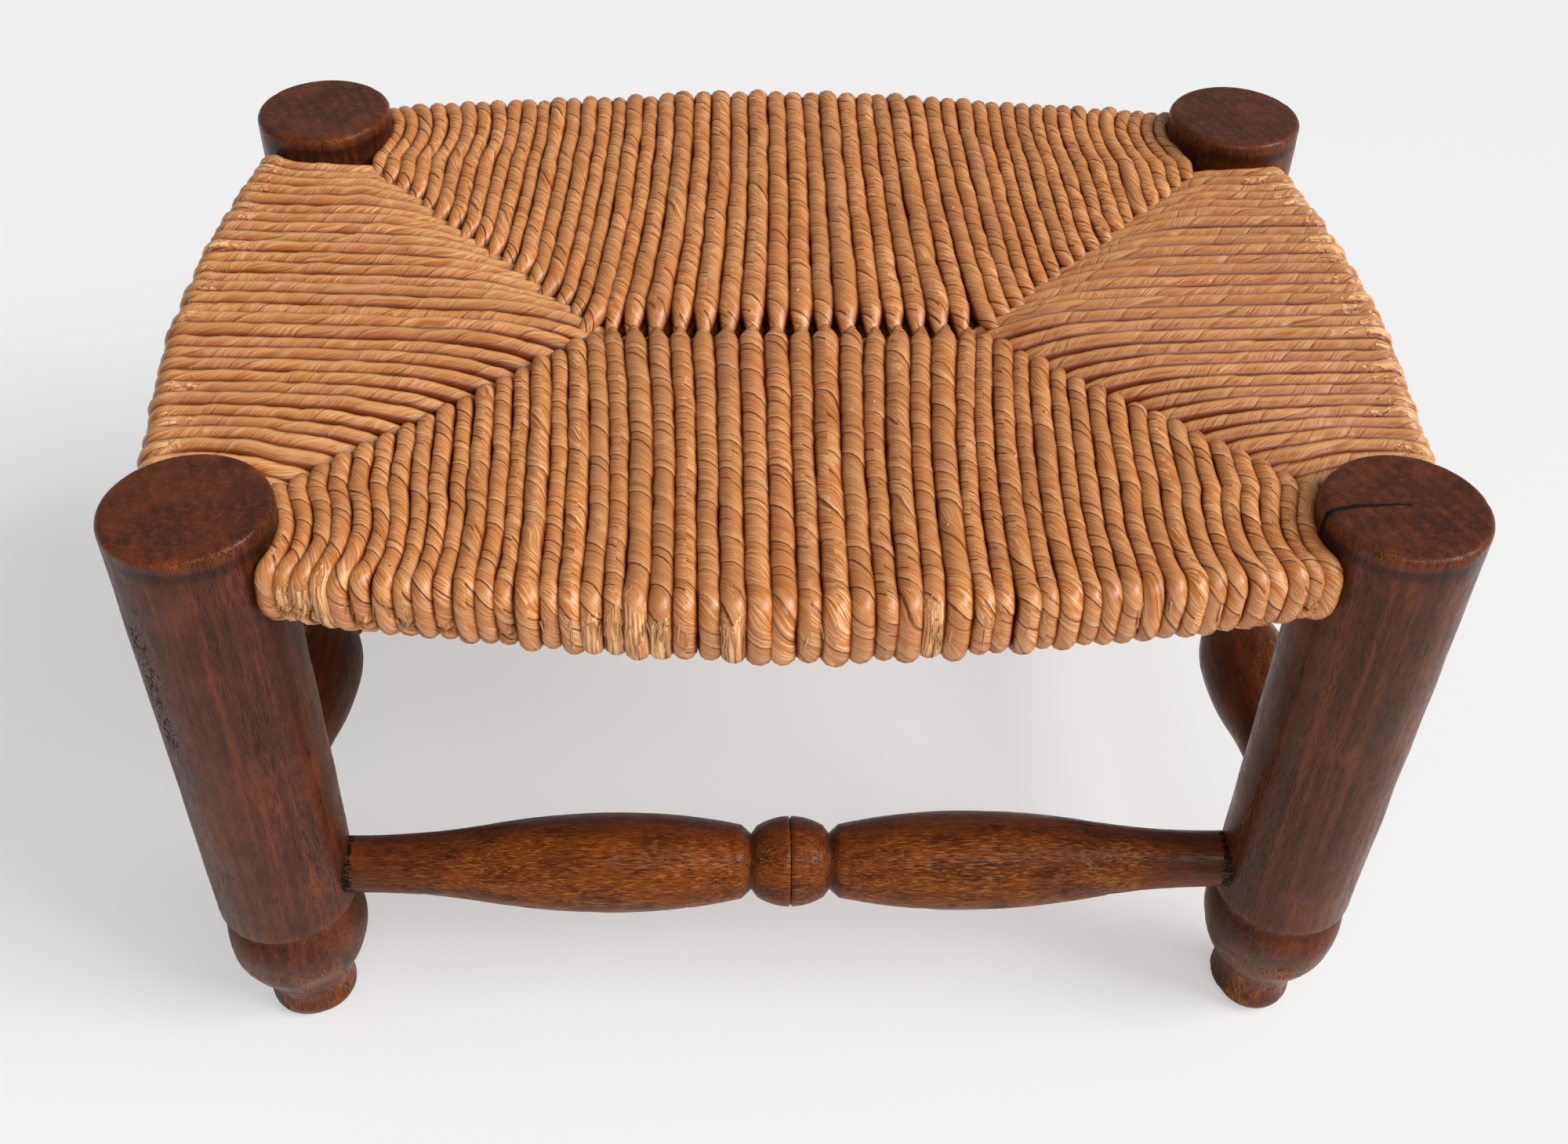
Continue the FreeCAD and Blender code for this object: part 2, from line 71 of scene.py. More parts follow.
# %% [markdown]
# ## Small helpers
# A node tree reads best when each node is one line, so one function adds a node with its settings and its
# links. Its inputs are listed from the top, as the node shows them in Blender's editor, or by name. Another
# function turns the hex colours that a paint chart gives into linear light.

# %% Node and colour helpers
MATH = "ShaderNodeMath"
VECTOR_MATH = "ShaderNodeVectorMath"
RANGE = "ShaderNodeMapRange"
NOISE = "ShaderNodeTexNoise"
WHITE_NOISE = "ShaderNodeTexWhiteNoise"
MIX = "ShaderNodeMix"
RAMP = "ShaderNodeValToRGB"
COMBINE = "ShaderNodeCombineXYZ"
SEPARATE = "ShaderNodeSeparateXYZ"
ATTRIBUTE = "ShaderNodeAttribute"
COORDINATES = "ShaderNodeTexCoord"
LIGHT_PATH = "ShaderNodeLightPath"
EASED = {"interpolation_type": "SMOOTHSTEP"}
TO_MM = (1 / MM, 1 / MM, 1 / MM)


def hex_colour(text):
    """sRGB hex to linear RGBA."""
    parts = [int(text[k : k + 2], 16) / 255 for k in (1, 3, 5)]
    linear = [p / 12.92 if p <= 0.04045 else ((p + 0.055) / 1.055) ** 2.4 for p in parts]
    return (*linear, 1.0)


def result(source):
    """The socket to link from: a node stands for the first output that it shows."""
    if isinstance(source, bpy.types.Node):
        return next(socket for socket in source.outputs if socket.enabled)
    return source


def node(tree, kind, inputs=(), **settings):
    """Adds a node; each input is a value or hex colour to set, or a node or socket to link."""
    made = tree.nodes.new(kind)
    for name, value in settings.items():
        setattr(made, name, value)
    shown = [socket for socket in made.inputs if socket.enabled]
    for key, value in inputs.items() if isinstance(inputs, dict) else enumerate(inputs):
        socket = shown[key] if isinstance(key, int) else next(s for s in shown if s.name == key)
        value = result(value)
        if isinstance(value, bpy.types.NodeSocket):
            tree.links.new(value, socket)
        elif isinstance(value, str) and value.startswith("#"):
            socket.default_value = hex_colour(value)
        else:
            socket.default_value = value
    return made


def colour_stops(ramp, *stops):
    """Sets a colour ramp's stops from (position, hex) pairs."""
    elements = ramp.color_ramp.elements
    while len(elements) < len(stops):
        elements.new(0.5)
    for element, (position, colour) in zip(elements, stops):
        element.position = position
        element.color = hex_colour(colour)
    return ramp


def coated(tree, colour, coats):
    """Lays coats over a colour: each follows a pattern between two of its values, with a strength at
    both, times a factor."""
    for pattern, (low, high), (start, end), factor, coat in coats:
        strength = node(tree, RANGE, (pattern, low, high, start, end), **EASED)
        strength = node(tree, MATH, (strength, factor), operation="MULTIPLY")
        colour = node(tree, MIX, (strength, colour, coat), data_type="RGBA")
    return colour


def new_material(name):
    material = bpy.data.materials.new(name)
    material.use_nodes = True
    tree = material.node_tree
    return material, tree, tree.nodes["Principled BSDF"]


def finish_surface(tree, shader, colour, roughness, height, bump_mm, strength):
    """Links colour, roughness and bump to the shader."""
    bump = {"Height": height, "Distance": bump_mm * MM, "Strength": strength}
    bumped = node(tree, "ShaderNodeBump", bump)
    for name, source in (("Base Color", colour), ("Roughness", roughness), ("Normal", bumped)):
        tree.links.new(result(source), shader.inputs[name])


def add_piece(name, mesh):
    """Puts a mesh, lamp or camera in the scene as an object."""
    piece = bpy.data.objects.new(name, mesh)
    bpy.context.scene.collection.objects.link(piece)
    return piece


# %% [markdown]
# ## Turned wood
# The frame is beech, turned on a lathe, stained dark and waxed, and then handled for a lifetime. The stain
# sits in short pores along the grain; the wax has rubbed thin on edges, so the paler wood shows there. The
# pattern follows each piece's own lathe axis, so every turning carries its axis coordinates in an
# attribute, and one material serves posts and stretchers alike. A picture of wood could be wrapped round
# each piece instead, but it would show a seam, and noise along the axis has none. Pores are drawn a little
# coarser than real ones, so that they show.

# %% Stained beech
# Each pattern: cells in a millimetre across and along the grain; the noise's scale, detail and roughness.
WOOD_PATTERNS = {
    "figure": (1 / 1.7, 1 / 75.0, 1.0, 3.0, 0.5),
    "pores": (1 / 0.4, 1 / 5.0, 1.0, 1.0, 0.5),
    "flecks": (1 / 0.4, 1 / 3.125, 0.8, 1.0, 0.5),
    "streaks": (0.11, 0.007, 1.0, 2.0, 0.5),
    "clouds": (1.0, 1.0, 1 / 20.0, 3.0, 0.5),
    "smudges": (1.0, 0.3, 1 / 4.0, 4.0, 0.65),
    "pits": (1.0, 0.55, 1.3, 1.0, 0.5),
}
RING_WIDTH_MM = 4.6
RING_WANDER = 1.6
PITH_OFFSET_MM = 60.0


def growth_rings(tree, place, clouds):
    """Waves that widen from a pith beside the billet, bent a little by the clouds."""
    flat = node(tree, SEPARATE, (place,)).outputs
    pith = node(tree, COMBINE, (node(tree, MATH, (flat[0], PITH_OFFSET_MM), operation="ADD"), flat[1]))
    distance = node(tree, VECTOR_MATH, (pith,), operation="LENGTH")
    turn = node(tree, MATH, (distance, RING_WIDTH_MM), operation="DIVIDE")
    turn = node(tree, MATH, (clouds, RING_WANDER, turn), operation="MULTIPLY_ADD")
    wave = node(tree, MATH, (node(tree, MATH, (turn, math.tau), operation="MULTIPLY"),), operation="SINE")
    return node(tree, MATH, (wave, 0.5, 0.5), operation="MULTIPLY_ADD")


def stained_beech():
    """Dark waxed stain: low sheen, fine dark and pale flecks, worn orange at the edges."""
    material, tree, shader = new_material("stained_beech_waxed")
    lathe = node(tree, ATTRIBUTE, attribute_name="lathe").outputs["Vector"]
    wear = node(tree, ATTRIBUTE, attribute_name="wear").outputs["Fac"]
    crack = node(tree, ATTRIBUTE, attribute_name="crack").outputs["Fac"]
    place = node(tree, VECTOR_MATH, (lathe, TO_MM), operation="MULTIPLY")
    made = {}
    for name, (across, along, scale, detail, rough) in WOOD_PATTERNS.items():
        stretched = node(tree, VECTOR_MATH, (place, (across, across, along)), operation="MULTIPLY")
        made[name] = node(tree, NOISE, (stretched, scale, detail, rough))

    rings = node(tree, MATH, (growth_rings(tree, place, made["clouds"]), 0.55), operation="MULTIPLY")
    bright = node(tree, MATH, (wear, 1.6), operation="POWER")
    open_pores = node(tree, MATH, (wear, 0.3, 0.35), operation="MULTIPLY_ADD")
    crumbled = node(tree, MATH, (made["pits"], 1.2, node(tree, MATH, (crack, 0.6), operation="SUBTRACT")),
                    operation="MULTIPLY_ADD")
    broken = node(tree, RANGE, (crumbled, 0.6, 0.72, 0.0, 1.0), **EASED)

    stain = node(tree, RAMP, (made["figure"],))
    body = colour_stops(stain, (0.3, "#2c120a"), (0.5, "#4b2012"), (0.7, "#6a321a"))
    body = node(tree, MIX, (rings, body, "#280f08"), data_type="RGBA")
    body = coated(tree, body, (
        (made["clouds"], (0.45, 0.7), (0.0, 0.5), 1.0, "#77371a"),  # redder clouds
        (made["smudges"], (0.3, 0.62), (0.45, 0.75), wear, "#844210"),  # orange wood, rubbed bare
        (made["smudges"], (0.34, 0.5), (0.5, 0.0), wear, "#260c05"),  # stain left between the rubs
        (wear, (0.0, 0.16), (0.9, 0.0), 1.0, "#180703"),  # old wax where nothing rubs
        (made["streaks"], (0.5, 0.66), (0.0, 0.45), 1.0, "#2a110a"),  # long dark streaks
        (made["flecks"], (0.48, 0.68), (0.0, 0.42), bright, "#bd7a3a"),  # pale flecks in rubbed wood
        (made["pores"], (0.52, 0.66), (0.0, 0.8), open_pores, "#1c0904"),  # stain in the pores
    ))
    body = node(tree, MIX, (broken, body, "#0c0604"), data_type="RGBA")

    waxed = node(tree, RANGE, (made["smudges"], 0.3, 0.7, 0.24, 0.42), **EASED)
    roughness = node(tree, MATH, (broken, 0.4, waxed), operation="MULTIPLY_ADD")
    figure_height = node(tree, MATH, (made["figure"], 0.3), operation="MULTIPLY")
    pore_depth = node(tree, RANGE, (made["pores"], 0.55, 0.7, 0.0, 1.0), **EASED)
    height = node(tree, MATH, (figure_height, pore_depth), operation="SUBTRACT")
    height = node(tree, MATH, (broken, -3.0, height), operation="MULTIPLY_ADD")
    finish_surface(tree, shader, body, roughness, height, bump_mm=0.35, strength=0.65)
    sheen = node(tree, RANGE, (wear, 0.25, 0.7, 0.22, 0.12), **EASED)
    tree.links.new(result(sheen), shader.inputs["Specular IOR Level"])
    return material


beech = stained_beech()
print("made", beech.name)

# %% [markdown]
# ## Posts
# Each post is turned from one billet: a slightly tapered shaft, a groove, a bulb, an ankle and a small
# pad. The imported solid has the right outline, but its flat facets would show under a soft light, so the
# post is turned again here as a finer mesh, with the small dents and softened rims that use gives it.
# A Screw modifier could spin the outline too, but a mesh made point by point can carry numbers that tell
# the material where the wood is worn, and where it is cracked or wormed.

# %% Lathe helpers
def arc(start, end, centre, count):
    """Points after start up to end on a circle about a centre."""
    first = math.atan2(start[1] - centre[1], start[0] - centre[0])
    last = math.atan2(end[1] - centre[1], end[0] - centre[0])
    turn = (last - first + math.pi) % math.tau - math.pi
    radius = math.dist(start, centre)
    angles = [first + turn * k / count for k in range(1, count + 1)]
    return [(centre[0] + radius * math.cos(a), centre[1] + radius * math.sin(a)) for a in angles]


def smooth(value):
    """Eases a value from 0 to 1 and holds it there."""
    value = max(0.0, min(1.0, value))
    return value * value * (3 - 2 * value)


def level_centre(start, end, level):
    """Centre, at a given height, of a circle through two points."""
    (a, b), (c, d) = start, end
    return ((a * a + (b - level) ** 2 - c * c - (d - level) ** 2) / (2 * (a - c)), level)


RING_STEP_MM = 2.2


def divided(outline):
    """The outline with long runs cut into short ones."""
    points = [outline[0]]
    for start, end in zip(outline, outline[1:]):
        count = max(1, math.ceil(math.dist(start, end) / RING_STEP_MM))
        points += [
            (start[0] + (end[0] - start[0]) * k / count, start[1] + (end[1] - start[1]) * k / count)
            for k in range(1, count + 1)
        ]
    return points


# %% Turning an outline
AROUND = 120
BILLET_SHIFT_MM = (31.7, 17.3, 53.9)
DENTS_PER_MM = 0.05
CHIPS_PER_MM = 0.22
CHIP_THRESHOLD = 0.25
CHIP_MM = 1.6
PATCHES_PER_MM = (0.1, 0.1, 0.045)
EVEN_PATCHES, DENTED_PATCHES = 0.45, 1.1
SLIM_RADIUS = 5
GRAIN_SHIFTS = 10
END_WEAR = 0.2


def lathe_faces(count):
    """Quads between rings of points, and a fan from the pole at each end."""
    faces = []
    for ring in range(count - 1):
        for k in range(AROUND):
            here, after = ring * AROUND + k, ring * AROUND + (k + 1) % AROUND
            faces.append((here, here + AROUND, after + AROUND, after))
    start_pole, end_pole = count * AROUND, count * AROUND + 1
    last = (count - 1) * AROUND
    faces += [(start_pole, k, (k + 1) % AROUND) for k in range(AROUND)]
    faces += [(end_pole, last + (k + 1) % AROUND, last + k) for k in range(AROUND)]
    return faces


def turned_piece(name, outline, place, seed, wear_at, crack_at, dent_at):
    """Spins an outline of (radius, height) in millimetres about its axis; place is a matrix in metres."""
    rings = divided(outline)
    shift = Vector([seed * along for along in BILLET_SHIFT_MM])
    patches = Vector(PATCHES_PER_MM)
    points, wear, crack = [], [], []
    for radius, height in rings[1:-1]:
        for k in range(AROUND):
            angle = math.tau * k / AROUND
            rub = wear_at(radius, height, angle)
            spot = Vector((radius * math.cos(angle), radius * math.sin(angle), height))
            wobble = noise.noise(spot * DENTS_PER_MM + shift) * dent_at(height)
            chip = max(0.0, noise.noise(spot * CHIPS_PER_MM + shift) - CHIP_THRESHOLD) * rub * CHIP_MM
            grown = radius + min(1.0, radius / SLIM_RADIUS) * (wobble - chip)
            points.append(Vector((grown * math.cos(angle), grown * math.sin(angle), height)))
            uneven = EVEN_PATCHES + DENTED_PATCHES * dent_at(height)
            uneven *= noise.noise(spot * patches - shift)
            wear.append(max(0.0, min(1.0, rub + uneven * rub * rub)))
            crack.append(crack_at(spot))
    poles = [Vector((0, 0, rings[0][1])), Vector((0, 0, rings[-1][1]))]
    points += poles
    wear += [END_WEAR, END_WEAR]
    crack += [crack_at(p) for p in poles]
    mesh = bpy.data.meshes.new(name)
    mesh.from_pydata([place @ (p * MM) for p in points], [], lathe_faces(len(rings) - 2))
    mesh.polygons.foreach_set("use_smooth", [True] * len(mesh.polygons))
    lathe = np.array([(p + shift * GRAIN_SHIFTS) * MM for p in points], np.float32)
    mesh.attributes.new("lathe", "FLOAT_VECTOR", "POINT").data.foreach_set("vector", lathe.ravel())
    mesh.attributes.new("wear", "FLOAT", "POINT").data.foreach_set("value", wear)
    mesh.attributes.new("crack", "FLOAT", "POINT").data.foreach_set("value", crack)
    mesh.materials.append(beech)
    return add_piece(name, mesh)


def stands_for(piece, cad_node):
    """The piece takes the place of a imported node."""
    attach(piece, "root")
    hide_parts(cad_node)


# %% Outline of a post
post_low, post_high = (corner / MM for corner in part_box("leg_front_left"))
POST_HEIGHT = post_high.z
POST_TOP_RADIUS = (post_high.x - post_low.x) / 2
POST_LOW_RADIUS = 23.4
RIM_ROUND = 2.5
SHOULDER = 58.0
SHOULDER_ROUND = 2.5
GROOVE = (20.3, 54.5)
BULB = (23.8, 45.0)
ANKLE = (14.2, 11.0)
ANKLE_HOLLOW = 25.0
PAD = (14.4, 6.5)
SOLE_RADIUS = 10.5


def post_outline():
    """Half outline of a post from the middle of its top to the middle of its sole."""
    rim = [(POST_TOP_RADIUS - RIM_ROUND, POST_HEIGHT)]
    rim_end = (POST_TOP_RADIUS, POST_HEIGHT - RIM_ROUND)
    rim += arc(rim[0], rim_end, (rim[0][0], rim_end[1]), 7)
    shoulder = [(POST_LOW_RADIUS, SHOULDER + SHOULDER_ROUND)]
    shoulder_end = (POST_LOW_RADIUS - SHOULDER_ROUND, SHOULDER)
    shoulder += arc(shoulder[0], shoulder_end, (shoulder_end[0], shoulder[0][1]), 5)
    swell = arc(GROOVE, BULB, level_centre(GROOVE, BULB, BULB[1]), 8)
    drop, step = BULB[1] - ANKLE[1], BULB[0] - ANKLE[0]
    reach = (drop**2 + step**2) / (2 * step)
    hollow_centre = (ANKLE[0] + ANKLE_HOLLOW, ANKLE[1])
    taper_centre = (BULB[0] - reach + ANKLE_HOLLOW, BULB[1])
    share = (BULB[0] - taper_centre[0]) / reach
    meet = tuple(t + (h - t) * share for t, h in zip(taper_centre, hollow_centre))
    taper = arc(BULB, meet, taper_centre, 8)
    waist = arc(meet, ANKLE, hollow_centre, 6)
    sole = (SOLE_RADIUS, 0.0)
    toe = arc(PAD, sole, level_centre(PAD, sole, PAD[1]), 6)
    return [(0, POST_HEIGHT), *rim, *shoulder, GROOVE, *swell, *taper, *waist, PAD, *toe, (0, 0)]


outline = post_outline()
print("post outline:", len(outline), "points")

# %% Wear and faults of the posts
RIM_WEAR = 0.6
SHAFT_WEAR = 0.22
STAINED_BAND = 0.15
SHOULDER_WEAR = 0.6
FOOT_WEAR = 0.72
FOOT_DENTS_MM = 1.7
SHAFT_DENTS_MM = 0.3


def post_wear(radius, height, angle):
    """Hands and shoes rub the rim, the shoulder, the bulb and the pad; a band below the rim stays dark. The
    bulb's top, under the shoulder, stays dark too: kept stain, and painted shade.
    """
    below = POST_HEIGHT - height
    rim = RIM_WEAR * max(0.0, 1 - abs(below - 1.5) / 2.5) if radius > POST_TOP_RADIUS - 3 else 0.0
    shaft = SHAFT_WEAR - STAINED_BAND * smooth(1.5 - abs(below - 6.0) / 3.0)
    # Wear on the bulb fades out towards the groove, so its top stays dark: kept stain, and painted shade
    # under the shoulder.
    foot = FOOT_WEAR * smooth((GROOVE[1] - 6 - height) / 16)
    shoulder = max(0.0, 1 - abs(height - SHOULDER - 2) / 5) * SHOULDER_WEAR
    return max(rim, foot, shoulder, shaft)


def post_dents(height):
    """The foot is knocked about far more than the shaft."""
    return FOOT_DENTS_MM if height < GROOVE[1] else SHAFT_DENTS_MM


def sound_wood(spot):
    return 0.0


CRACK_DEPTH_MM = 9.0
CRACK_END_X = 2.0


def drying_crack(spot):
    """A split across the top of one post, from its left rim to just past the middle."""
    if spot.z < POST_HEIGHT - CRACK_DEPTH_MM or spot.x > CRACK_END_X:
        return 0.0
    bend = -0.012 * min(0.0, spot.x + 8) ** 2
    drift = bend + noise.noise(Vector((spot.x * 0.15, 4.0, 1.0))) * 0.9
    width = 0.35 + 0.035 * max(0.0, -spot.x)
    return max(0.0, min(1.0, 1.6 - abs(spot.y - drift) / width))


WORM_SIDE = math.radians(-132)
WORM_RANGE = (142.0, 211.0)
WORM_FADE_MM = 12.0
WORM_HALF_ANGLE = 0.26
WORM_STRENGTH = 0.6


def worm_holes(spot):
    """Where woodworm has pitted the outer side of one post; the material breaks this patch into pits."""
    low, high = WORM_RANGE
    lengthwise = smooth((spot.z - low) / WORM_FADE_MM) * smooth((high - spot.z) / WORM_FADE_MM)
    off_side = abs(math.atan2(spot.y, spot.x) - WORM_SIDE)
    return WORM_STRENGTH * lengthwise * smooth(1.4 - off_side / WORM_HALF_ANGLE)


# %% Turn the four posts
FAULTS = {"front_left": worm_holes, "front_right": drying_crack}
for seed, name in enumerate(("front_left", "front_right", "back_left", "back_right"), start=1):
    low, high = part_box(f"leg_{name}")
    place = Matrix.Translation(((low.x + high.x) / 2, (low.y + high.y) / 2, 0))
    fault = FAULTS.get(name, sound_wood)
    post = turned_piece(f"post_{name}", outline, place, seed, post_wear, fault, post_dents)
    stands_for(post, f"leg_{name}")
print("posts:", round(POST_HEIGHT), "mm tall,", len(post.data.polygons), "faces each")

# %% [markdown]
# ## Stretchers
# A stretcher has a bead with a scored line in the middle, a deep neck each side, and two long vases that
# slim down to their tenons. The same lathe function turns it, lying down, with wear on the side of the
# vases and bead where heels have rested; that side faces out and a little up, and the darker top and
# underside are partly painted shade, the top's from the seat above. One end of each has kept more of its
# dark stain.

# %% Outline of a stretcher
BEAD_RADIUS = 15.1
BEAD_EDGE = (12.0, 11.2)
NECK = (9.4, 13.2)
VASE_FOOT = (12.4, 16.5)
END_RADIUS = 9.5
END_STRAIGHT = 2.0
SCORE_HALF_WIDTH = 0.5
SCORE_DEPTH = 0.9


def stretcher_outline(half_length, socket, vase):
    """Outline from one tenon's end to the other, with height measured from the bead's middle; at the
    socket the stretcher enters the post."""
    tail = (END_RADIUS, socket - END_STRAIGHT)
    rim = (BEAD_RADIUS, SCORE_HALF_WIDTH)
    bead = arc(rim, BEAD_EDGE, level_centre((BEAD_RADIUS, 0), BEAD_EDGE, 0), 8)
    swell = arc(VASE_FOOT, vase, level_centre(VASE_FOOT, vase, vase[1]), 10)
    length, drop = tail[1] - vase[1], vase[0] - tail[0]
    curve = (length**2 + drop**2) / (4 * drop)
    belly_centre, sweep_centre = (vase[0] - curve, vase[1]), (tail[0] + curve, tail[1])
    meet = tuple((b + s) / 2 for b, s in zip(belly_centre, sweep_centre))
    belly = arc(vase, meet, belly_centre, 12)
    sweep = arc(meet, tail, sweep_centre, 12)
    tenon = [(END_RADIUS, half_length), (0, half_length)]
    half = [rim, *bead, NECK, VASE_FOOT, *swell, *belly, *sweep, *tenon]
    score = (BEAD_RADIUS - SCORE_DEPTH, 0.0)
    return [(r, -h) for r, h in reversed(half)] + [score] + half


# %% Turn the four stretchers
LONG_VASE = (16.7, 58.0)
SHORT_VASE = (16.2, 34.0)
WORN_AND_LIT_SIDES = {"front": 245, "back": 115, "left": 205, "right": 335}
LEAST_RUNG_WEAR = 0.18
RUBBED_RADII = (8.0, 12.0)
DARK_END, DARK_END_LENGTH = 28, 20
DARK_END_STAIN = 0.8
JOINT_GRIME = 0.75
RUNG_DENTS_MM = 0.2


def rung_wear(worn_and_lit_side, socket, radius, height, angle):
    """All but the thinnest parts are rubbed on their outer side, the rest partly painted shade; one end keeps
    its dark stain.
    """
    turned_to = smooth(0.15 + 0.85 * math.cos(angle - worn_and_lit_side))
    dark_end = 1 - DARK_END_STAIN * smooth((height - socket + DARK_END) / DARK_END_LENGTH)
    thin, thick = RUBBED_RADII
    rubbed = smooth((radius - thin) / (thick - thin)) * turned_to * dark_end
    return LEAST_RUNG_WEAR + (1 - LEAST_RUNG_WEAR) * rubbed


def rung_grime(socket, spot):
    """Dirt in the line scored round the bead and where the ends enter the posts."""
    scored = 1.0 if abs(spot.z) < SCORE_HALF_WIDTH / 2 else 0.0
    return max(scored, JOINT_GRIME * smooth((abs(spot.z) - socket + 3.5) / 4.0))


def rung_dents(height):
    return RUNG_DENTS_MM


for seed, side in enumerate(("front", "back", "left", "right"), start=5):
    low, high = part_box(f"stretcher_{side}")
    long_way = side in ("front", "back")
    half_length = ((high.x - low.x) if long_way else (high.y - low.y)) / 2 / MM
    socket = abs(post_low.x if long_way else post_low.y) - 2 * POST_TOP_RADIUS
    turn = Matrix.Rotation(math.pi / 2, 4, "Y") if long_way else Matrix.Rotation(-math.pi / 2, 4, "X")
    outline = stretcher_outline(half_length, socket, LONG_VASE if long_way else SHORT_VASE)
    place = Matrix.Translation((low + high) / 2) @ turn
    wear = partial(rung_wear, math.radians(WORN_AND_LIT_SIDES[side]), socket)
    grime = partial(rung_grime, socket)
    rung = turned_piece(f"rung_{side}", outline, place, seed, wear, grime, rung_dents)
    stands_for(rung, f"stretcher_{side}")
print("stretchers:", len(rung.data.polygons), "faces on the last")

# %% [markdown]
# ## Seat rails
# The rails are flat bars that the cord hides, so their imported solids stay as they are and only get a
# plain, unstained wood, which shows as a warm dark edge in the chinks by the posts.

# %% Bare wood on the rails
BARE_FIGURE_MM = (30.0, 30.0, 4.0)


def bare_wood():
    """Unfinished beech: matt, with a faint long figure."""
    material, tree, shader = new_material("bare_beech")
    place = node(tree, COORDINATES).outputs["Object"]
    cells = [1 / (size * MM) for size in BARE_FIGURE_MM]
    along = node(tree, VECTOR_MATH, (place, cells), operation="MULTIPLY")
    figure = node(tree, NOISE, (along, 1.0, 3.0))
    colour = colour_stops(node(tree, RAMP, (figure,)), (0.3, "#5a3a20"), (0.7, "#86603a"))
    roughness = node(tree, RANGE, (figure, 0.3, 0.7, 0.6, 0.8), **EASED)
    finish_surface(tree, shader, colour, roughness, figure, bump_mm=0.2, strength=0.3)
    return material


rail_wood = bare_wood()
for side in ("front", "back", "left", "right"):
    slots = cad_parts[f"rail_{side}"].data.materials
    slots.clear()
    slots.append(rail_wood)
print("rails dressed in", rail_wood.name)

# %% [markdown]
# ## The straw cord
# The cord is a bundle of straw with one flat straw ribbon wound round it. The eye sees the ribbon's edges
# as thin dark slanting lines, and the straw's fibres as hair-fine streaks along the ribbon. Both follow
# the winding, so the swept mesh carries, at every point, the cosine and sine of its angle round the cord
# and its distance along it. One function works out the winding from those, and it serves both the
# geometry, which swells under each lap, and the material, which draws the laps. A ribbon of real faces
# would need many times more of them for the same picture. Each turn of cord also has a strand number: its
# fraction is the turn's own chance, and its whole part is 0 on the front and back fields, 1 on the left one
# and 2 on the right one.

# %% Winding of the ribbon
LAP_MM = 14.0
LAP_SPREAD = 0.6
LAP_DRIFT = 1.15
SIDE_LAP = 1.5
DRIFT_LENGTH_MM = 30.0
DRIFT_SHIFT = 91.0
TURN_SHIFT = 37.0
SIDE_STRAND = (0.95, 1.05)


def ribbon_turns(tree, along, cosine, sine, strand):
    """How often the ribbon has gone round the cord at a point, and the angle there as a share of a turn."""
    angle = node(tree, MATH, (sine, cosine), operation="ARCTAN2")
    angle = node(tree, MATH, (angle, math.tau), operation="DIVIDE")
    share = node(tree, MATH, (strand,), operation="FRACT")
    lap = node(tree, MATH, (share, LAP_SPREAD * LAP_MM * MM, LAP_MM * MM * (1 - LAP_SPREAD / 2)),
               operation="MULTIPLY_ADD")
    longer = node(tree, RANGE, (strand, *SIDE_STRAND, 1.0, SIDE_LAP), **EASED)
    lap = node(tree, MATH, (lap, longer), operation="MULTIPLY")
    drift_place = node(tree, MATH, (along, DRIFT_LENGTH_MM * MM), operation="DIVIDE")
    drift_place = node(tree, MATH, (strand, DRIFT_SHIFT, drift_place), operation="MULTIPLY_ADD")
    drift = node(tree, NOISE, (drift_place, 1.0, 1.0), noise_dimensions="1D")
    turns = node(tree, MATH, (node(tree, MATH, (along, lap), operation="DIVIDE"), angle), operation="ADD")
    turns = node(tree, MATH, (strand, TURN_SHIFT, turns), operation="MULTIPLY_ADD")
    return node(tree, MATH, (drift, LAP_DRIFT, turns), operation="MULTIPLY_ADD"), angle


print("laps of", [round(LAP_MM * (1 + side * LAP_SPREAD / 2), 1) for side in (-1, 1)], "mm")

# %% [markdown]
# The finish: golden straw, varnished by handling, with a tone of its own on every lap and every turn of
# cord. Where shoes have scuffed the top, the straw is pale; where the ribbon has broken, the bundle inside
# shows as pale lengthwise fibres. The side fields have a painted highlight on the crown of each turn and
# painted shade on its flanks, and the right one is painted a shade darker all over. Every turn has painted
# shade on its sides, darkening towards its neighbours.

# %% Patterns of the straw
STREAKS_PER_LAP = 42.0
STREAK_STRETCH = 3.0
TONE_SHIFT = 50.0
FIBRES_ROUND = 26.0
FIBRES_PER_METRE = 60.0
CLOUDS_PER_MM = 0.03
SCUFFS_PER_MM = 0.11
VARNISH_IOR = 1.5


def lap_edges(tree, across, dice, strand):
    """Dark lines at each lap's edge, some fainter than others, and at a split in most laps."""
    tone, split_dice, second_dice = dice
    depth = node(tree, RANGE, (tone, 0.05, 0.7, 0.2, 1.0), **EASED)
    edge = node(tree, RANGE, (across, 0.022, 0.06, 1.0, 0.0), **EASED)
    edge = node(tree, MATH, (edge, depth), operation="MULTIPLY")
    split = node(tree, RANGE, (split_dice, 0.0, 1.0, 0.25, 0.75), **EASED)
    off_split = node(tree, MATH, (across, split), operation="SUBTRACT")
    off_split = node(tree, MATH, (off_split,), operation="ABSOLUTE")
    second = node(tree, RANGE, (off_split, 0.01, 0.032, 1.0, 0.0), **EASED)
    has_second = node(tree, RANGE, (second_dice, 0.2, 0.35, 0.0, 1.0), **EASED)
    second = node(tree, MATH, (second, has_second), operation="MULTIPLY")
    edge = node(tree, MATH, (edge, second), operation="MAXIMUM")
    fainter = node(tree, RANGE, (strand, 0.9, 1.1, 0.9, 0.5), **EASED)
    return node(tree, MATH, (edge, fainter), operation="MULTIPLY")


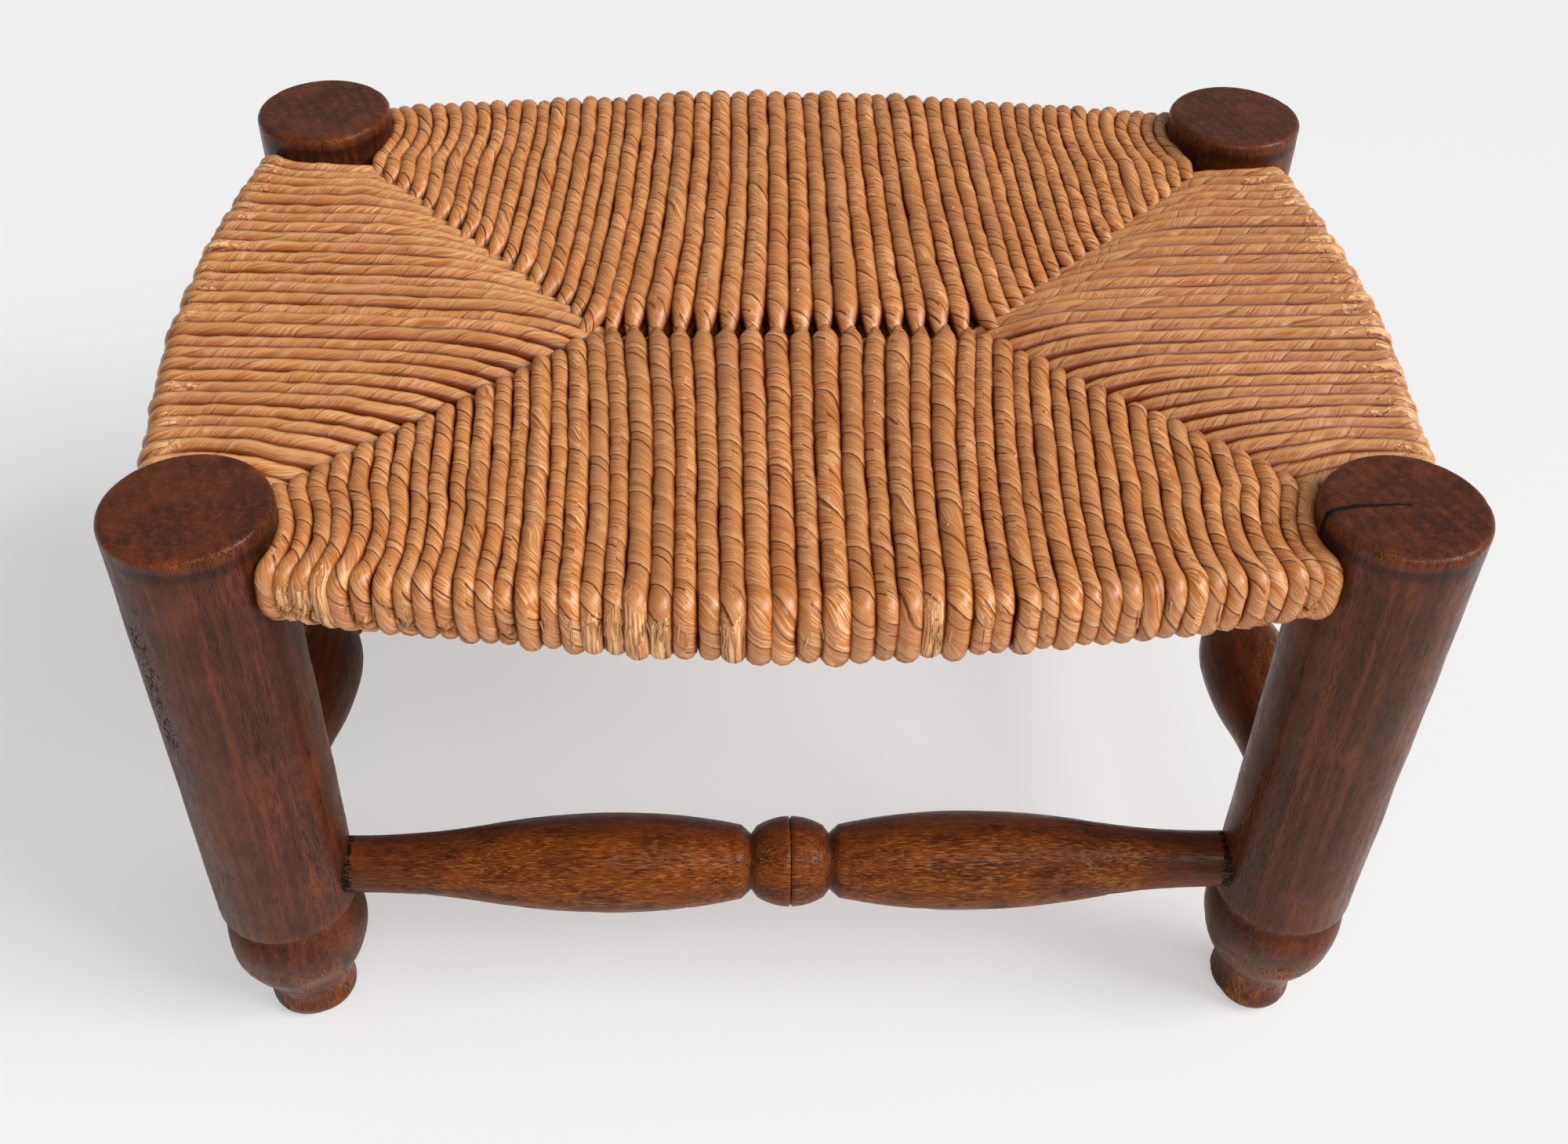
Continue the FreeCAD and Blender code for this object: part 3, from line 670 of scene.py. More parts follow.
def broken_ribbon(tree, angle, along, strand_shift, fray):
    """The bundle's lengthwise fibres, and where the ribbon is torn off them."""
    place = node(tree, COMBINE, (
        node(tree, MATH, (angle, FIBRES_ROUND), operation="MULTIPLY"),
        node(tree, MATH, (along, FIBRES_PER_METRE), operation="MULTIPLY"),
        strand_shift,
    ))
    fibres = node(tree, NOISE, (place, 1.0, 3.0, 0.6))
    torn_place = node(tree, VECTOR_MATH, (place, (0.35, 6.0, 1.0)), operation="MULTIPLY")
    ragged = node(tree, NOISE, (torn_place, 1.0, 2.0))
    torn = node(tree, MATH, (fray, 1.0), operation="SUBTRACT")
    torn = node(tree, MATH, (ragged, 2.0, torn), operation="MULTIPLY_ADD")
    return fibres, node(tree, RANGE, (torn, 0.44, 0.56, 0.0, 1.0), **EASED)


# %% Wound straw
def wound_straw():
    """Varnished straw ribbon: satin, streaked along the winding, dark under each lap's edge."""
    material, tree, shader = new_material("wound_straw")
    cosine, sine, along = node(
        tree, SEPARATE, (node(tree, ATTRIBUTE, attribute_name="spin").outputs["Vector"],)).outputs
    strand, fray, sideways = (
        node(tree, ATTRIBUTE, attribute_name=name).outputs["Fac"] for name in ("strand", "fray", "sideways"))
    turns, angle = ribbon_turns(tree, along, cosine, sine, strand)
    lap = node(tree, MATH, (turns,), operation="FLOOR")
    across = node(tree, MATH, (turns,), operation="FRACT")

    strand_shift = node(tree, MATH, (strand, TONE_SHIFT), operation="MULTIPLY")
    lap_place = node(tree, COMBINE, (lap, strand_shift))
    lap_dice = node(tree, WHITE_NOISE, (lap_place,), noise_dimensions="2D").outputs["Color"]
    dice = node(tree, SEPARATE, (lap_dice,)).outputs
    strand_tone = node(tree, WHITE_NOISE, (strand_shift,), noise_dimensions="1D")
    streak_place = node(tree, COMBINE, (
        node(tree, MATH, (turns, STREAKS_PER_LAP), operation="MULTIPLY"),
        node(tree, MATH, (angle, STREAK_STRETCH), operation="MULTIPLY"),
        strand_shift,
    ))
    streaks = node(tree, NOISE, (streak_place, 1.0, 2.0, 0.6))
    place = node(tree, VECTOR_MATH, (node(tree, COORDINATES).outputs["Object"], TO_MM), operation="MULTIPLY")
    clouds = node(tree, NOISE, (place, CLOUDS_PER_MM, 3.0))
    scuffs = node(tree, NOISE, (place, SCUFFS_PER_MM, 4.0, 0.7))
    normal = node(tree, "ShaderNodeNewGeometry").outputs["Normal"]
    upward = node(tree, RANGE, (node(tree, SEPARATE, (normal,)).outputs[2], 0.55, 0.95, 0.0, 1.0), **EASED)
    edge = lap_edges(tree, across, dice, strand)
    fibres, bare = broken_ribbon(tree, angle, along, strand_shift, fray)
    on_side = node(tree, RANGE, (strand, *SIDE_STRAND, 0.0, 1.0), **EASED)

    ribbon = node(tree, RAMP, (streaks,))
    straw = colour_stops(ribbon, (0.32, "#a9591b"), (0.5, "#cf7f3d"), (0.68, "#f1c591"))
    straw = coated(tree, straw, (
        (dice[0], (0.4, 1.0), (0.0, 0.5), 1.0, "#b06a34"),  # a tone for each lap
        (strand_tone, (0.3, 1.0), (0.0, 0.5), 1.0, "#b27a48"),  # and for each turn of cord
        (clouds, (0.42, 0.75), (0.0, 0.4), 1.0, "#a45c2c"),  # darker clouds
        (across, (0.0, 0.35), (0.2, 0.0), 1.0, "#8a4818"),  # shade under the next lap
        (across, (0.8, 0.98), (0.0, 0.22), 1.0, "#f0c58a"),  # light on the lap's raised edge
        (strand, (1.9, 2.1), (0.0, 0.26), 1.0, "#94521f"),  # painted shade: the whole right field darker
        (scuffs, (0.58, 0.74), (0.0, 0.5), upward, "#e8ba82"),  # scuffs on top
    ))
    straw = node(tree, MIX, (edge, straw, "#521a04"), data_type="RGBA")
    bundle = node(tree, RAMP, (fibres,))
    bundle = colour_stops(bundle, (0.36, "#6b3412"), (0.47, "#d48c4c"), (0.6, "#f8c48c"))
    straw = node(tree, MIX, (bare, straw, bundle), data_type="RGBA")
    straw = coated(tree, straw, (
        (sideways, (0.0, 0.55), (0.42, 0.0), on_side, "#eab87e"),  # painted highlight on the crowns of the side fields' turns
        (sideways, (0.3, 0.8), (0.0, 0.38), on_side, "#7d3d12"),  # and painted shade on their flanks
        (sideways, (0.64, 0.95), (0.0, 0.94), 1.0, "#682206"),  # painted shade in the groove between turns
    ))

    lift = node(tree, MATH, (streaks, 0.35), operation="MULTIPLY")
    lift = node(tree, MATH, (lift, edge), operation="SUBTRACT")
    lift = node(tree, MATH, (across, -0.25, lift), operation="MULTIPLY_ADD")
    bare_fibres = node(tree, MATH, (fibres, bare), operation="MULTIPLY")
    lift = node(tree, MATH, (bare_fibres, 1.6, lift), operation="MULTIPLY_ADD")
    roughness = node(tree, RANGE, (streaks, 0.3, 0.7, 0.25, 0.4), **EASED)
    finish_surface(tree, shader, straw, roughness, lift, bump_mm=0.35, strength=0.75)
    shader.inputs["IOR"].default_value = VARNISH_IOR
    return material


straw_finish = wound_straw()
print("made", straw_finish.name)

# %% [markdown]
# ## Routes of the cord
# On the real stool the weaver brings the cord over one rail near a corner, up through the middle, over the
# next rail, and so on round the frame. What shows is a turn on each rail for every round: it climbs out of
# the mitre, runs over the rail, round its bowed edge and back underneath. Each turn's route is worked out
# in the rail's own frame, with u along the rail, v outward from the middle of the seat and w up. A long
# rail has fifty turns: seventeen end in each corner's mitre, and the sixteen between them fan out to the
# bridge in the middle of the seat. An array of one turn would be quicker, but no two turns have the same
# length or end, so a loop works each one out.

# %% Places of the turns
rail_low, rail_high = (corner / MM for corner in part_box("rail_front"))
RAIL_LEVEL = (rail_low.z + rail_high.z) / 2
RAIL_HALF_THICK = (rail_high.z - rail_low.z) / 2
POST_X = -(post_low.x + POST_TOP_RADIUS)
POST_Y = -(post_low.y + POST_TOP_RADIUS)
LONG_TURNS = 50
SHORT_TURNS = 30
LONG_CORNER_TURNS = 17
SHORT_CORNER_TURNS = SHORT_TURNS // 2
LONG_CROWDING = 0.38
SHORT_CROWDING = 0.06
CROWDING_SHARE = 0.22
WIDTH_SPREAD = 0.19


def chance(*keys):
    """A fixed number from 0 to 1 for each set of keys."""
    return math.sin(sum(key * factor for key, factor in zip(keys, (127.1, 311.7, 74.7)))) * 43758.5453 % 1.0


def spread(count, half_span, crowding, seed):
    """Middles and half widths of uneven turns that lie closer together towards the posts."""
    widths = [
        (1 + crowding * math.exp(-((k + 0.5 - count / 2) / (CROWDING_SHARE * count)) ** 2))
        * (1 + WIDTH_SPREAD * (chance(k, seed) - 0.5))
        for k in range(count)
    ]
    scale = 2 * half_span / sum(widths)
    middles, edge = [], -half_span
    for width in widths:
        middles.append(edge + width * scale / 2)
        edge += width * scale
    return middles, [width * scale / 2 for width in widths]


Field = namedtuple("Field", "seed turn long bow out skew tone")
FIELDS = {
    "front": Field(seed=1, turn=math.pi, long=True, bow=16.0, out=0.0, skew=0.0, tone=0.0),
    "back": Field(seed=2, turn=0.0, long=True, bow=11.0, out=-1.5, skew=0.0, tone=0.0),
    "left": Field(seed=3, turn=math.pi / 2, long=False, bow=9.0, out=1.2, skew=0.0, tone=1.0),
    # The right field's tone of 2 also makes the material paint its straw darker, as painted shade.
    "right": Field(seed=4, turn=-math.pi / 2, long=False, bow=7.6, out=-3.5, skew=0.018, tone=2.0),
}
PLACES = {
    side: spread(LONG_TURNS, POST_X - POST_TOP_RADIUS, LONG_CROWDING, field.seed) if field.long
    else spread(SHORT_TURNS, POST_Y - POST_TOP_RADIUS, SHORT_CROWDING, field.seed)
    for side, field in FIELDS.items()
}
widths = [2 * half for half in PLACES["front"][1]]
print("front cord", round(min(widths), 2), "to", round(max(widths), 2), "mm wide")

# %% [markdown]
# The fields meet along four mitres, from the inner side of each post to the bridge in the middle. They are
# not quite even on a hand-woven seat: the front left one leans over to its post.

# %% Mitres
BRIDGE_Y = -5.0
BRIDGE_HALF = 62.6
MITRES = {
    ("front", "left"): ((-153.0, -93.0), (-62.0, BRIDGE_Y)),
    ("front", "right"): ((151.0, -91.0), (61.5, BRIDGE_Y)),
    ("back", "left"): ((-149.0, 90.0), (-62.0, BRIDGE_Y)),
    ("back", "right"): ((150.0, 88.0), (62.5, BRIDGE_Y)),
}


def mitre_tip(place_x, place_y, share):
    """The point at a share of the way along the mitre of a corner, in the stool's plan."""
    ends = ("front" if place_y < 0 else "back", "left" if place_x < 0 else "right")
    (x0, y0), (x1, y1) = MITRES[ends]
    return x0 + (x1 - x0) * share, y0 + (y1 - y0) * share


print("mitres:", [round(math.dist(*ends)) for ends in MITRES.values()], "mm long")

# %% [markdown]
# A turn's inner end sinks into the mitre and thins to a tip on top. Corner turns curl towards their mitre.
# Bridge turns fan out over the bridge's length, so they grow wider as they near it. Underneath the tips
# stay blunt, so that no chink opens through the seat.

# %% Inner ends of the turns
End = namedtuple("End", "tip_u stop curl fall dip sag length size hook fan")
Tip = namedtuple("Tip", "fall dip length size set_back hook")
SIDE_TIP = Tip(fall=36.0, dip=6.0, length=8.0, size=0.65, set_back=1.2, hook=0.0)
CORNER_TIPS = {
    "front": Tip(fall=9.0, dip=4.5, length=5.0, size=0.75, set_back=0.0, hook=0.0),
    "back": Tip(fall=8.0, dip=3.2, length=6.0, size=0.6, set_back=0.6, hook=1.3),
    "left": SIDE_TIP,
    "right": SIDE_TIP,
}
BridgeTip = namedtuple("BridgeTip", "fall dip size past shift")
BRIDGE_TIPS = {
    "front": BridgeTip(fall=8.0, dip=1.2, size=0.28, past=1.5, shift=0.0),
    "back": BridgeTip(fall=14.0, dip=6.5, size=0.4, past=3.0, shift=1 / 3),
}
BRIDGE_TIP_LENGTH = 14.0
CORNER_SAG = 5.0
BRIDGE_SAG = 5.5
LONG_CURL = 130.0
SHORT_CURL = 48.0
CURL_SHARE = 0.92


def corner_end(side, place, half, outer, depth):
    """The end of a turn in a mitre, at a share of the way along it."""
    field, tip = FIELDS[side], CORNER_TIPS[side]
    to_plan = Matrix.Rotation(field.turn, 2)
    plan = to_plan @ Vector((place, POST_Y if field.long else POST_X))
    tip_u, stop = to_plan.transposed() @ Vector(mitre_tip(plan.x, plan.y, depth))
    curl = min(LONG_CURL, CURL_SHARE * (outer - stop)) if field.long else SHORT_CURL
    stop -= tip.set_back * half
    hook = tip.hook * half * math.copysign(1.0, place)
    return End(tip_u, stop, curl, tip.fall, tip.dip, CORNER_SAG * depth, tip.length, tip.size, hook, 1.0)


def bridge_end(side, place, half):
    """The end of a turn at the bridge, where the turns fan out."""
    tip = BRIDGE_TIPS[side]
    middles, halves = PLACES[side]
    first, last = LONG_CORNER_TURNS, len(middles) - 1 - LONG_CORNER_TURNS
    low, high = middles[first] - halves[first], middles[last] + halves[last]
    fan = 2 * BRIDGE_HALF / (high - low)
    tip_u = fan * (place - (low + high) / 2) - tip.shift * half
    stop = (-BRIDGE_Y if side == "front" else BRIDGE_Y) - tip.past
    return End(tip_u, stop, LONG_CURL, tip.fall, tip.dip, BRIDGE_SAG, BRIDGE_TIP_LENGTH, tip.size, 0.0, fan)


print("front turns fan out", round(bridge_end("front", 0.0, 0.0).fan, 2), "times at the bridge")


# %% One turn's route
EDGE_BEND = 3.8
EDGE_STEPS = 5
FACE_STEPS = 4
UNDER_BEND = 8.0
UNDER_RISE = 2.6
UNDER_REACH = 2.5
ROUTE_STEP = 2.0
CLIMB_SHARES = (-0.6, -0.2, 0.2, 0.6)


def half_route(level, bend, outer, stop, fall, dip, sag):
    """(v, w) points of half a turn: out of the mitre, along the rail and round its edge to mid-face."""
    run_end = outer - bend
    run = run_end - stop
    fall = min(fall, 0.8 * run)
    count = max(4, math.ceil(run / ROUTE_STEP))
    points = []
    for k in range(count + 1):
        v = stop + run * k / count
        drop = dip * max(0.0, 1 - (v - stop) / fall) ** 2 + sag * (1 - k / count) ** 1.6
        points.append((v, level - drop))
    for k in range(1, EDGE_STEPS + 1):
        angle = math.pi / 2 * (1 - k / EDGE_STEPS)
        points.append((run_end + bend * math.cos(angle), level - bend * (1 - math.sin(angle))))
    return points + [(outer, (level - bend) * (1 - k / FACE_STEPS)) for k in range(1, FACE_STEPS)]


def turn_route(half, outer, end):
    """(v, w) points of a turn: up through the mitre, over the rail and back to the mitre underneath,
    where the layer is thinner."""
    level = RAIL_HALF_THICK + half
    upper = half_route(level, EDGE_BEND, outer, end.stop, end.fall, end.dip, end.sag)
    thin = 1 - UNDER_RISE / level
    lower = half_route(
        level * thin, UNDER_BEND, outer, end.stop - UNDER_REACH, end.fall, end.dip * thin, end.sag * thin)
    climb = [(end.stop - 1.0, upper[0][1] * share) for share in CLIMB_SHARES]
    return climb + upper + [(outer, 0.0)] + [(v, -w) for v, w in reversed(lower)]


# %% [markdown]
# No two turns of hand-twisted cord lie quite alike, so each route wanders and kinks a little, swells and
# thins, and leans round the posts. Some turns of the front field are frayed where they drop over the rail's
# edge, and loose fibres have sprung from them.

# %% Hand work on a turn
WANDER_MM, WANDER_LENGTH = 0.45, 17.0
KINK_ACROSS, KINK_UP, KINK_LENGTH = 0.25, 0.3, 6.0
SWELL, SWELL_LENGTH = 0.08, 11.0
HOOK_REACH = 9.0
KNEE_KICK = 1.3
KNEE_LENGTH = 6.0
UNDER_TIP_SIZE = 1.15
LONG_FULLNESS = (1.06, 0.05)
SHORT_FULLNESS = (1.02, 0.13)
LEAN_FULLNESS = 5
FULLER_EDGE = (7.0, 5.0)
FRAYED_EDGE = (5.0, 4.0)
WORN_EDGE = (20.0, 16.0)
FRAY_TOP, FRAY_LENGTH, FRAY_RAGGED = 13.0, 8.0, 3
FRAY_FOOT, FRAY_FOOT_LENGTH = 10.0, 4.0
SIDE_WEAR = 0.6
Rail = namedtuple("Rail", "matrix long seed half_span post_v")


def post_room(v, post_v):
    """How far a turn may lean towards the post, whose round side falls away on both sides of its middle."""
    away = min(abs(v - post_v), 0.8 * POST_TOP_RADIUS)
    return POST_TOP_RADIUS - math.sqrt(POST_TOP_RADIUS**2 - away**2)


def near_edge(v, outer, start, length):
    """Eases in from a start before the outer edge, over a length."""
    return smooth((v - outer + start) / length)


def swept_turn(rail, k, place, half, outer, end, lean, frayed):
    """Points, radii and fraying along one turn."""
    root = Vector((k * 7.31, rail.seed * 11.7, 0.0))
    knee_kick = (chance(k, rail.seed, 5) - 0.5) * KNEE_KICK
    full, fuller = LONG_FULLNESS if rail.long else SHORT_FULLNESS
    points, radii, fray = [], [], []
    route = turn_route(half, outer, end)
    along, last = 0.0, route[0]
    for v, w in route:
        along += math.dist((v, w), last)
        last = (v, w)
        drift = noise.noise(root + Vector((0, 0, along / WANDER_LENGTH)))
        kink = noise.noise(root + Vector((5.0, 0, along / KINK_LENGTH)))
        swell = 1 + SWELL * noise.noise(root + Vector((9.0, 0, along / SWELL_LENGTH)))
        inward = max(0.0, 1 - (v - end.stop) / end.curl) ** 2
        room = post_room(v, rail.post_v)
        u = place + (end.tip_u - place) * inward + WANDER_MM * drift + KINK_ACROSS * kink
        u += lean * room * max(0.0, 1 - inward)
        u += end.hook * max(0.0, 1 - (v - end.stop) / HOOK_REACH) ** 2
        u += knee_kick * smooth(1 - abs(v - outer + 1) / KNEE_LENGTH)
        points.append(rail.matrix @ (Vector((u, v, w + KINK_UP * kink)) * MM))

        blunt = end.size if w > 0 else max(end.size, UNDER_TIP_SIZE)
        tip = blunt + (1 - blunt) * smooth((v - end.stop) / end.length)
        spaced = full + fuller * near_edge(v, outer, *FULLER_EDGE)
        spaced += LEAN_FULLNESS / rail.half_span * abs(lean) * room
        fanned = 1 + (end.fan - 1) * inward
        radii.append(half * spaced * swell * tip * fanned * MM)

        on_face = near_edge(v, outer, *FRAYED_EDGE) * smooth((w + FRAY_FOOT) / FRAY_FOOT_LENGTH)
        torn = on_face * smooth((FRAY_TOP - w + FRAY_RAGGED * drift) / FRAY_LENGTH) if frayed else 0.0
        worn = 0.0 if rail.long else SIDE_WEAR * chance(k, rail.seed, 7) * near_edge(v, outer, *WORN_EDGE)
        fray.append(max(worn, torn))
    return points, radii, fray


# %% Loose fibres
FIBRE_TOP, FIBRE_TOP_SPREAD = 9.0, 5.0
FIBRE_LENGTH, FIBRE_LENGTH_SPREAD = 3.5, 3.5
FIBRE_SPRING = 1.3
FIBRE_SLANT = 2.4
FIBRE_RADIUS, FIBRE_THINNING = 0.28, 0.18
FIBRE_STEPS = 5


def loose_fibres(matrix, middle, front, half, amount, seed):
    """Short straws sprung from a worn turn where it drops over the rail's edge."""
    fibres = []
    shares = [k / FIBRE_STEPS for k in range(FIBRE_STEPS + 1)]
    for n in range(amount):
        off = (chance(n, seed, 1) - 0.5) * 1.8 * half
        bulge = math.sqrt(half**2 - off**2)
        top = FIBRE_TOP - FIBRE_TOP_SPREAD * chance(n, seed, 2)
        length = FIBRE_LENGTH + FIBRE_LENGTH_SPREAD * chance(n, seed, 3)
        spring = FIBRE_SPRING * chance(n, seed, 4) ** 3
        slant = (chance(n, seed, 5) - 0.5) * FIBRE_SLANT
        points = []
        for t in shares:
            point = Vector((middle + off + slant * t, front + bulge + 0.1 + spring * t * t, top - length * t))
            points.append(matrix @ (point * MM))
        radii = [(FIBRE_RADIUS - FIBRE_THINNING * t) * MM for t in shares]
        fibres.append((points, radii, chance(n, seed, 6), [1.0] * len(shares)))
    return fibres


# %% All the turns of one field
RAIL_CLEARANCE = 0.3
LEAN_AT_POST, LEAN_POWER = 0.8, 5
FRAYED_FROM_LEFT = (1, 2, 3, 16, 17, 18, 19, 22, 30)
NICKED_SHARE = 0.35
FIBRES_PER_FRAY = 6
FIBRES_PER_NICK = 2
FRAY_SWELL = 1.08


def field_routes(side):
    """Points, radii, strand number and fraying of every turn over one rail, and of its loose fibres."""
    field, places = FIELDS[side], PLACES[side]
    rail_box = [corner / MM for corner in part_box(f"rail_{side}")]
    reach = max(abs(corner.y if field.long else corner.x) for corner in rail_box)
    half_span = (POST_X if field.long else POST_Y) - POST_TOP_RADIUS
    matrix = Matrix.Translation((0, 0, RAIL_LEVEL * MM)) @ Matrix.Rotation(field.turn, 4, "Z")
    rail = Rail(matrix, field.long, field.seed, half_span, POST_Y if field.long else POST_X)
    count = len(places[0])
    corner_turns = LONG_CORNER_TURNS if field.long else SHORT_CORNER_TURNS
    turns, fibres = [], []
    for k, (place, half) in enumerate(zip(*places)):
        rank = min(k, count - 1 - k)
        bowed = reach - field.bow * (place / half_span) ** 2
        outer = bowed + half + RAIL_CLEARANCE + field.out + field.skew * place
        if rank < corner_turns:
            end = corner_end(side, place, half, outer, (rank + 0.5) / corner_turns)
        else:
            end = bridge_end(side, place, half)
        lean = LEAN_AT_POST * (abs(place) / half_span) ** LEAN_POWER * math.copysign(1.0, place)
        frayed = side == "front" and count - 1 - k in FRAYED_FROM_LEFT
        nicked = side == "front" and chance(k, field.seed, 9) < NICKED_SHARE
        points, radii, fray = swept_turn(rail, k, place, half, outer, end, lean, frayed)
        turns.append((points, radii, chance(k, field.seed) + field.tone, fray))
        amount = FIBRES_PER_FRAY if frayed else FIBRES_PER_NICK if nicked else 0
        middle = place + lean * post_room(outer, rail.post_v)
        fibres += loose_fibres(matrix, middle, outer, half * FRAY_SWELL, amount, k)
    return turns + fibres


# %% [markdown]
# ## Sweeping the cord
# Fifty turns on a rail are one rule repeated, so Geometry Nodes sweep them all at once. The routes go in
# as bare edges with a radius on each point; the tree makes curves of them, sweeps a circle along, swells
# the skin under each lap, and leaves the winding's coordinates on the mesh for the material.

# %% Tree helpers
def new_tree(name, sizes):
    """An empty tree with named inputs; returns it, its inputs inside and their identifiers."""
    tree = bpy.data.node_groups.new(name, "GeometryNodeTree")
    face = tree.interface
    face.new_socket("Geometry", in_out="INPUT", socket_type="NodeSocketGeometry")
    identifiers = {
        label: face.new_socket(label, in_out="INPUT", socket_type=kind).identifier
        for label, kind in sizes.items()
    }
    face.new_socket("Geometry", in_out="OUTPUT", socket_type="NodeSocketGeometry")
    return tree, node(tree, "NodeGroupInput").outputs, identifiers


def end_tree(tree, geometry, finish):
    """Ends a tree with plain geometry in its material."""
    geometry = node(tree, "GeometryNodeRealizeInstances", (geometry,))
    geometry = node(tree, "GeometryNodeSetMaterial", {"Geometry": geometry, "Material": finish})
    node(tree, "NodeGroupOutput", {"Geometry": geometry})


def nodes_to_mesh(piece, tree, identifiers, values):
    """Runs a tree on a piece and keeps the result as the piece's plain mesh."""
    modifier = piece.modifiers.new(tree.name, "NODES")
    modifier.node_group = tree
    for label, value in values.items():
        modifier[identifiers[label]] = value
    graph = bpy.context.evaluated_depsgraph_get()
    made = bpy.data.meshes.new_from_object(piece.evaluated_get(graph))
    piece.modifiers.remove(modifier)
    old, piece.data = piece.data, made
    made.name = piece.name
    bpy.data.meshes.remove(old)


# %% Cord tree
STORE = "GeometryNodeStoreNamedAttribute"
NAMED = "GeometryNodeInputNamedAttribute"
SPLINE = "GeometryNodeSplineParameter"
CORD_SIZES = {
    "Sides": "NodeSocketInt",
    "Lap swell": "NodeSocketFloat",
    "Rail way": "NodeSocketVector",
    "Finish": "NodeSocketMaterial",
}


def cord_tree():
    """Edges with a radius at each point become wound cord."""
    tree, entry, identifiers = new_tree("wind_cord", CORD_SIZES)
    curves = node(tree, "GeometryNodeMeshToCurve", (entry["Geometry"],))
    thickness = node(tree, NAMED, ("thickness",))
    curves = node(tree, "GeometryNodeSetCurveRadius", {"Curve": curves, "Radius": thickness})
    length = node(tree, SPLINE).outputs["Length"]
    curves = node(tree, STORE, {"Geometry": curves, "Name": "along", "Value": length})
    ring = node(tree, "GeometryNodeCurvePrimitiveCircle", {"Resolution": entry["Sides"], "Radius": 1.0})
    factor = node(tree, SPLINE).outputs["Factor"]
    ring = node(tree, STORE, {"Geometry": ring, "Name": "round", "Value": factor})
    radius = node(tree, "GeometryNodeInputRadius")
    skin = node(tree, "GeometryNodeCurveToMesh", {
        "Curve": curves, "Profile Curve": ring, "Scale": radius, "Fill Caps": True})

    angle = node(tree, MATH, (node(tree, NAMED, ("round",)), math.tau), operation="MULTIPLY")
    cosine = node(tree, MATH, (angle,), operation="COSINE")
    sine = node(tree, MATH, (angle,), operation="SINE")
    along = node(tree, NAMED, ("along",))
    spin = node(tree, COMBINE, (cosine, sine, along))
    skin = node(tree, STORE, {"Geometry": skin, "Name": "spin", "Value": spin}, data_type="FLOAT_VECTOR")
    normal = node(tree, "GeometryNodeInputNormal")
    sideways = node(tree, VECTOR_MATH, (normal, entry["Rail way"]), operation="DOT_PRODUCT")
    sideways = node(tree, MATH, (sideways,), operation="ABSOLUTE")
    skin = node(tree, STORE, {"Geometry": skin, "Name": "sideways", "Value": sideways})

    turns, _ = ribbon_turns(tree, along, cosine, sine, node(tree, NAMED, ("strand",)))
    rise = node(tree, MATH, (turns,), operation="FRACT")
    rise = node(tree, MATH, (rise, entry["Lap swell"]), operation="MULTIPLY")
    offset = node(tree, VECTOR_MATH, (normal, rise), operation="SCALE")
    skin = node(tree, "GeometryNodeSetPosition", {"Geometry": skin, "Offset": offset})
    end_tree(tree, node(tree, "GeometryNodeSetShadeSmooth", (skin,)), entry["Finish"])
    return tree, identifiers


wind_cord, cord_identifiers = cord_tree()
print("cord tree:", len(wind_cord.nodes), "nodes")


# %% Wind the four fields
CORD_SIDES = 12
LAP_SWELL_MM = 0.26


def route_mesh(name, turns):
    """Bare edges along the routes, with radius, strand number and fraying on each point."""
    points = [p for turn in turns for p in turn[0]]
    edges, first = [], 0
    for turn in turns:
        edges += [(first + k, first + k + 1) for k in range(len(turn[0]) - 1)]
        first += len(turn[0])
    mesh = bpy.data.meshes.new(name)
    mesh.from_pydata(points, edges, [])
    columns = {
        "thickness": [r for turn in turns for r in turn[1]],
        "strand": [turn[2] for turn in turns for _ in turn[0]],
        "fray": [f for turn in turns for f in turn[3]],
    }
    for column, values in columns.items():
        mesh.attributes.new(column, "FLOAT", "POINT").data.foreach_set("value", values)
    return mesh


for side, field in FIELDS.items():
    turns = field_routes(side)
    cord = add_piece(f"cord_{side}", route_mesh(f"cord_{side}", turns))
    nodes_to_mesh(cord, wind_cord, cord_identifiers, {
        "Sides": CORD_SIDES,
        "Lap swell": LAP_SWELL_MM * MM,
        "Rail way": (1.0, 0.0, 0.0) if field.long else (0.0, 1.0, 0.0),
        "Finish": straw_finish,
    })
    stands_for(cord, f"rush_{side}")
    print(cord.name, len(turns), "turns and loose straws,", len(cord.data.polygons), "faces")

# %% [markdown]
# ## Stuffing
# Between the layers of cord the weaver packs short straw into each pocket. It only shows in the chinks,
# as pale stalks in the dark, so Geometry Nodes scatter a few hundred thin straws over each wad's plan,
# which is enough for what is ever seen of it.

# %% Loose straw
STRAW_TONES_PER_MM = 0.35


def loose_straw():
    """Dry straw: pale gold, matt, uneven in tone."""
    material, tree, shader = new_material("loose_straw")
    place = node(tree, VECTOR_MATH, (node(tree, COORDINATES).outputs["Object"], TO_MM), operation="MULTIPLY")
    tone = node(tree, NOISE, (place, STRAW_TONES_PER_MM, 2.0))
    colour = colour_stops(node(tree, RAMP, (tone,)), (0.3, "#8c6432"), (0.7, "#d0a866"))
    roughness = node(tree, RANGE, (tone, 0.3, 0.7, 0.5, 0.7), **EASED)
    finish_surface(tree, shader, colour, roughness, tone, bump_mm=0.2, strength=0.4)
    return material


straw = loose_straw()
print("made", straw.name)

# %% Straw tree
RANDOM = "FunctionNodeRandomValue"
STRAW_LENGTH = 26.0
STRAW_RADIUS = 0.9
STRAW_SIDES = 6
STRAW_TILT = 0.12
STRAW_SIZES = {
    "Straws per square metre": "NodeSocketFloat",
    "Half depth": "NodeSocketFloat",
    "Seed": "NodeSocketInt",
    "Finish": "NodeSocketMaterial",
}


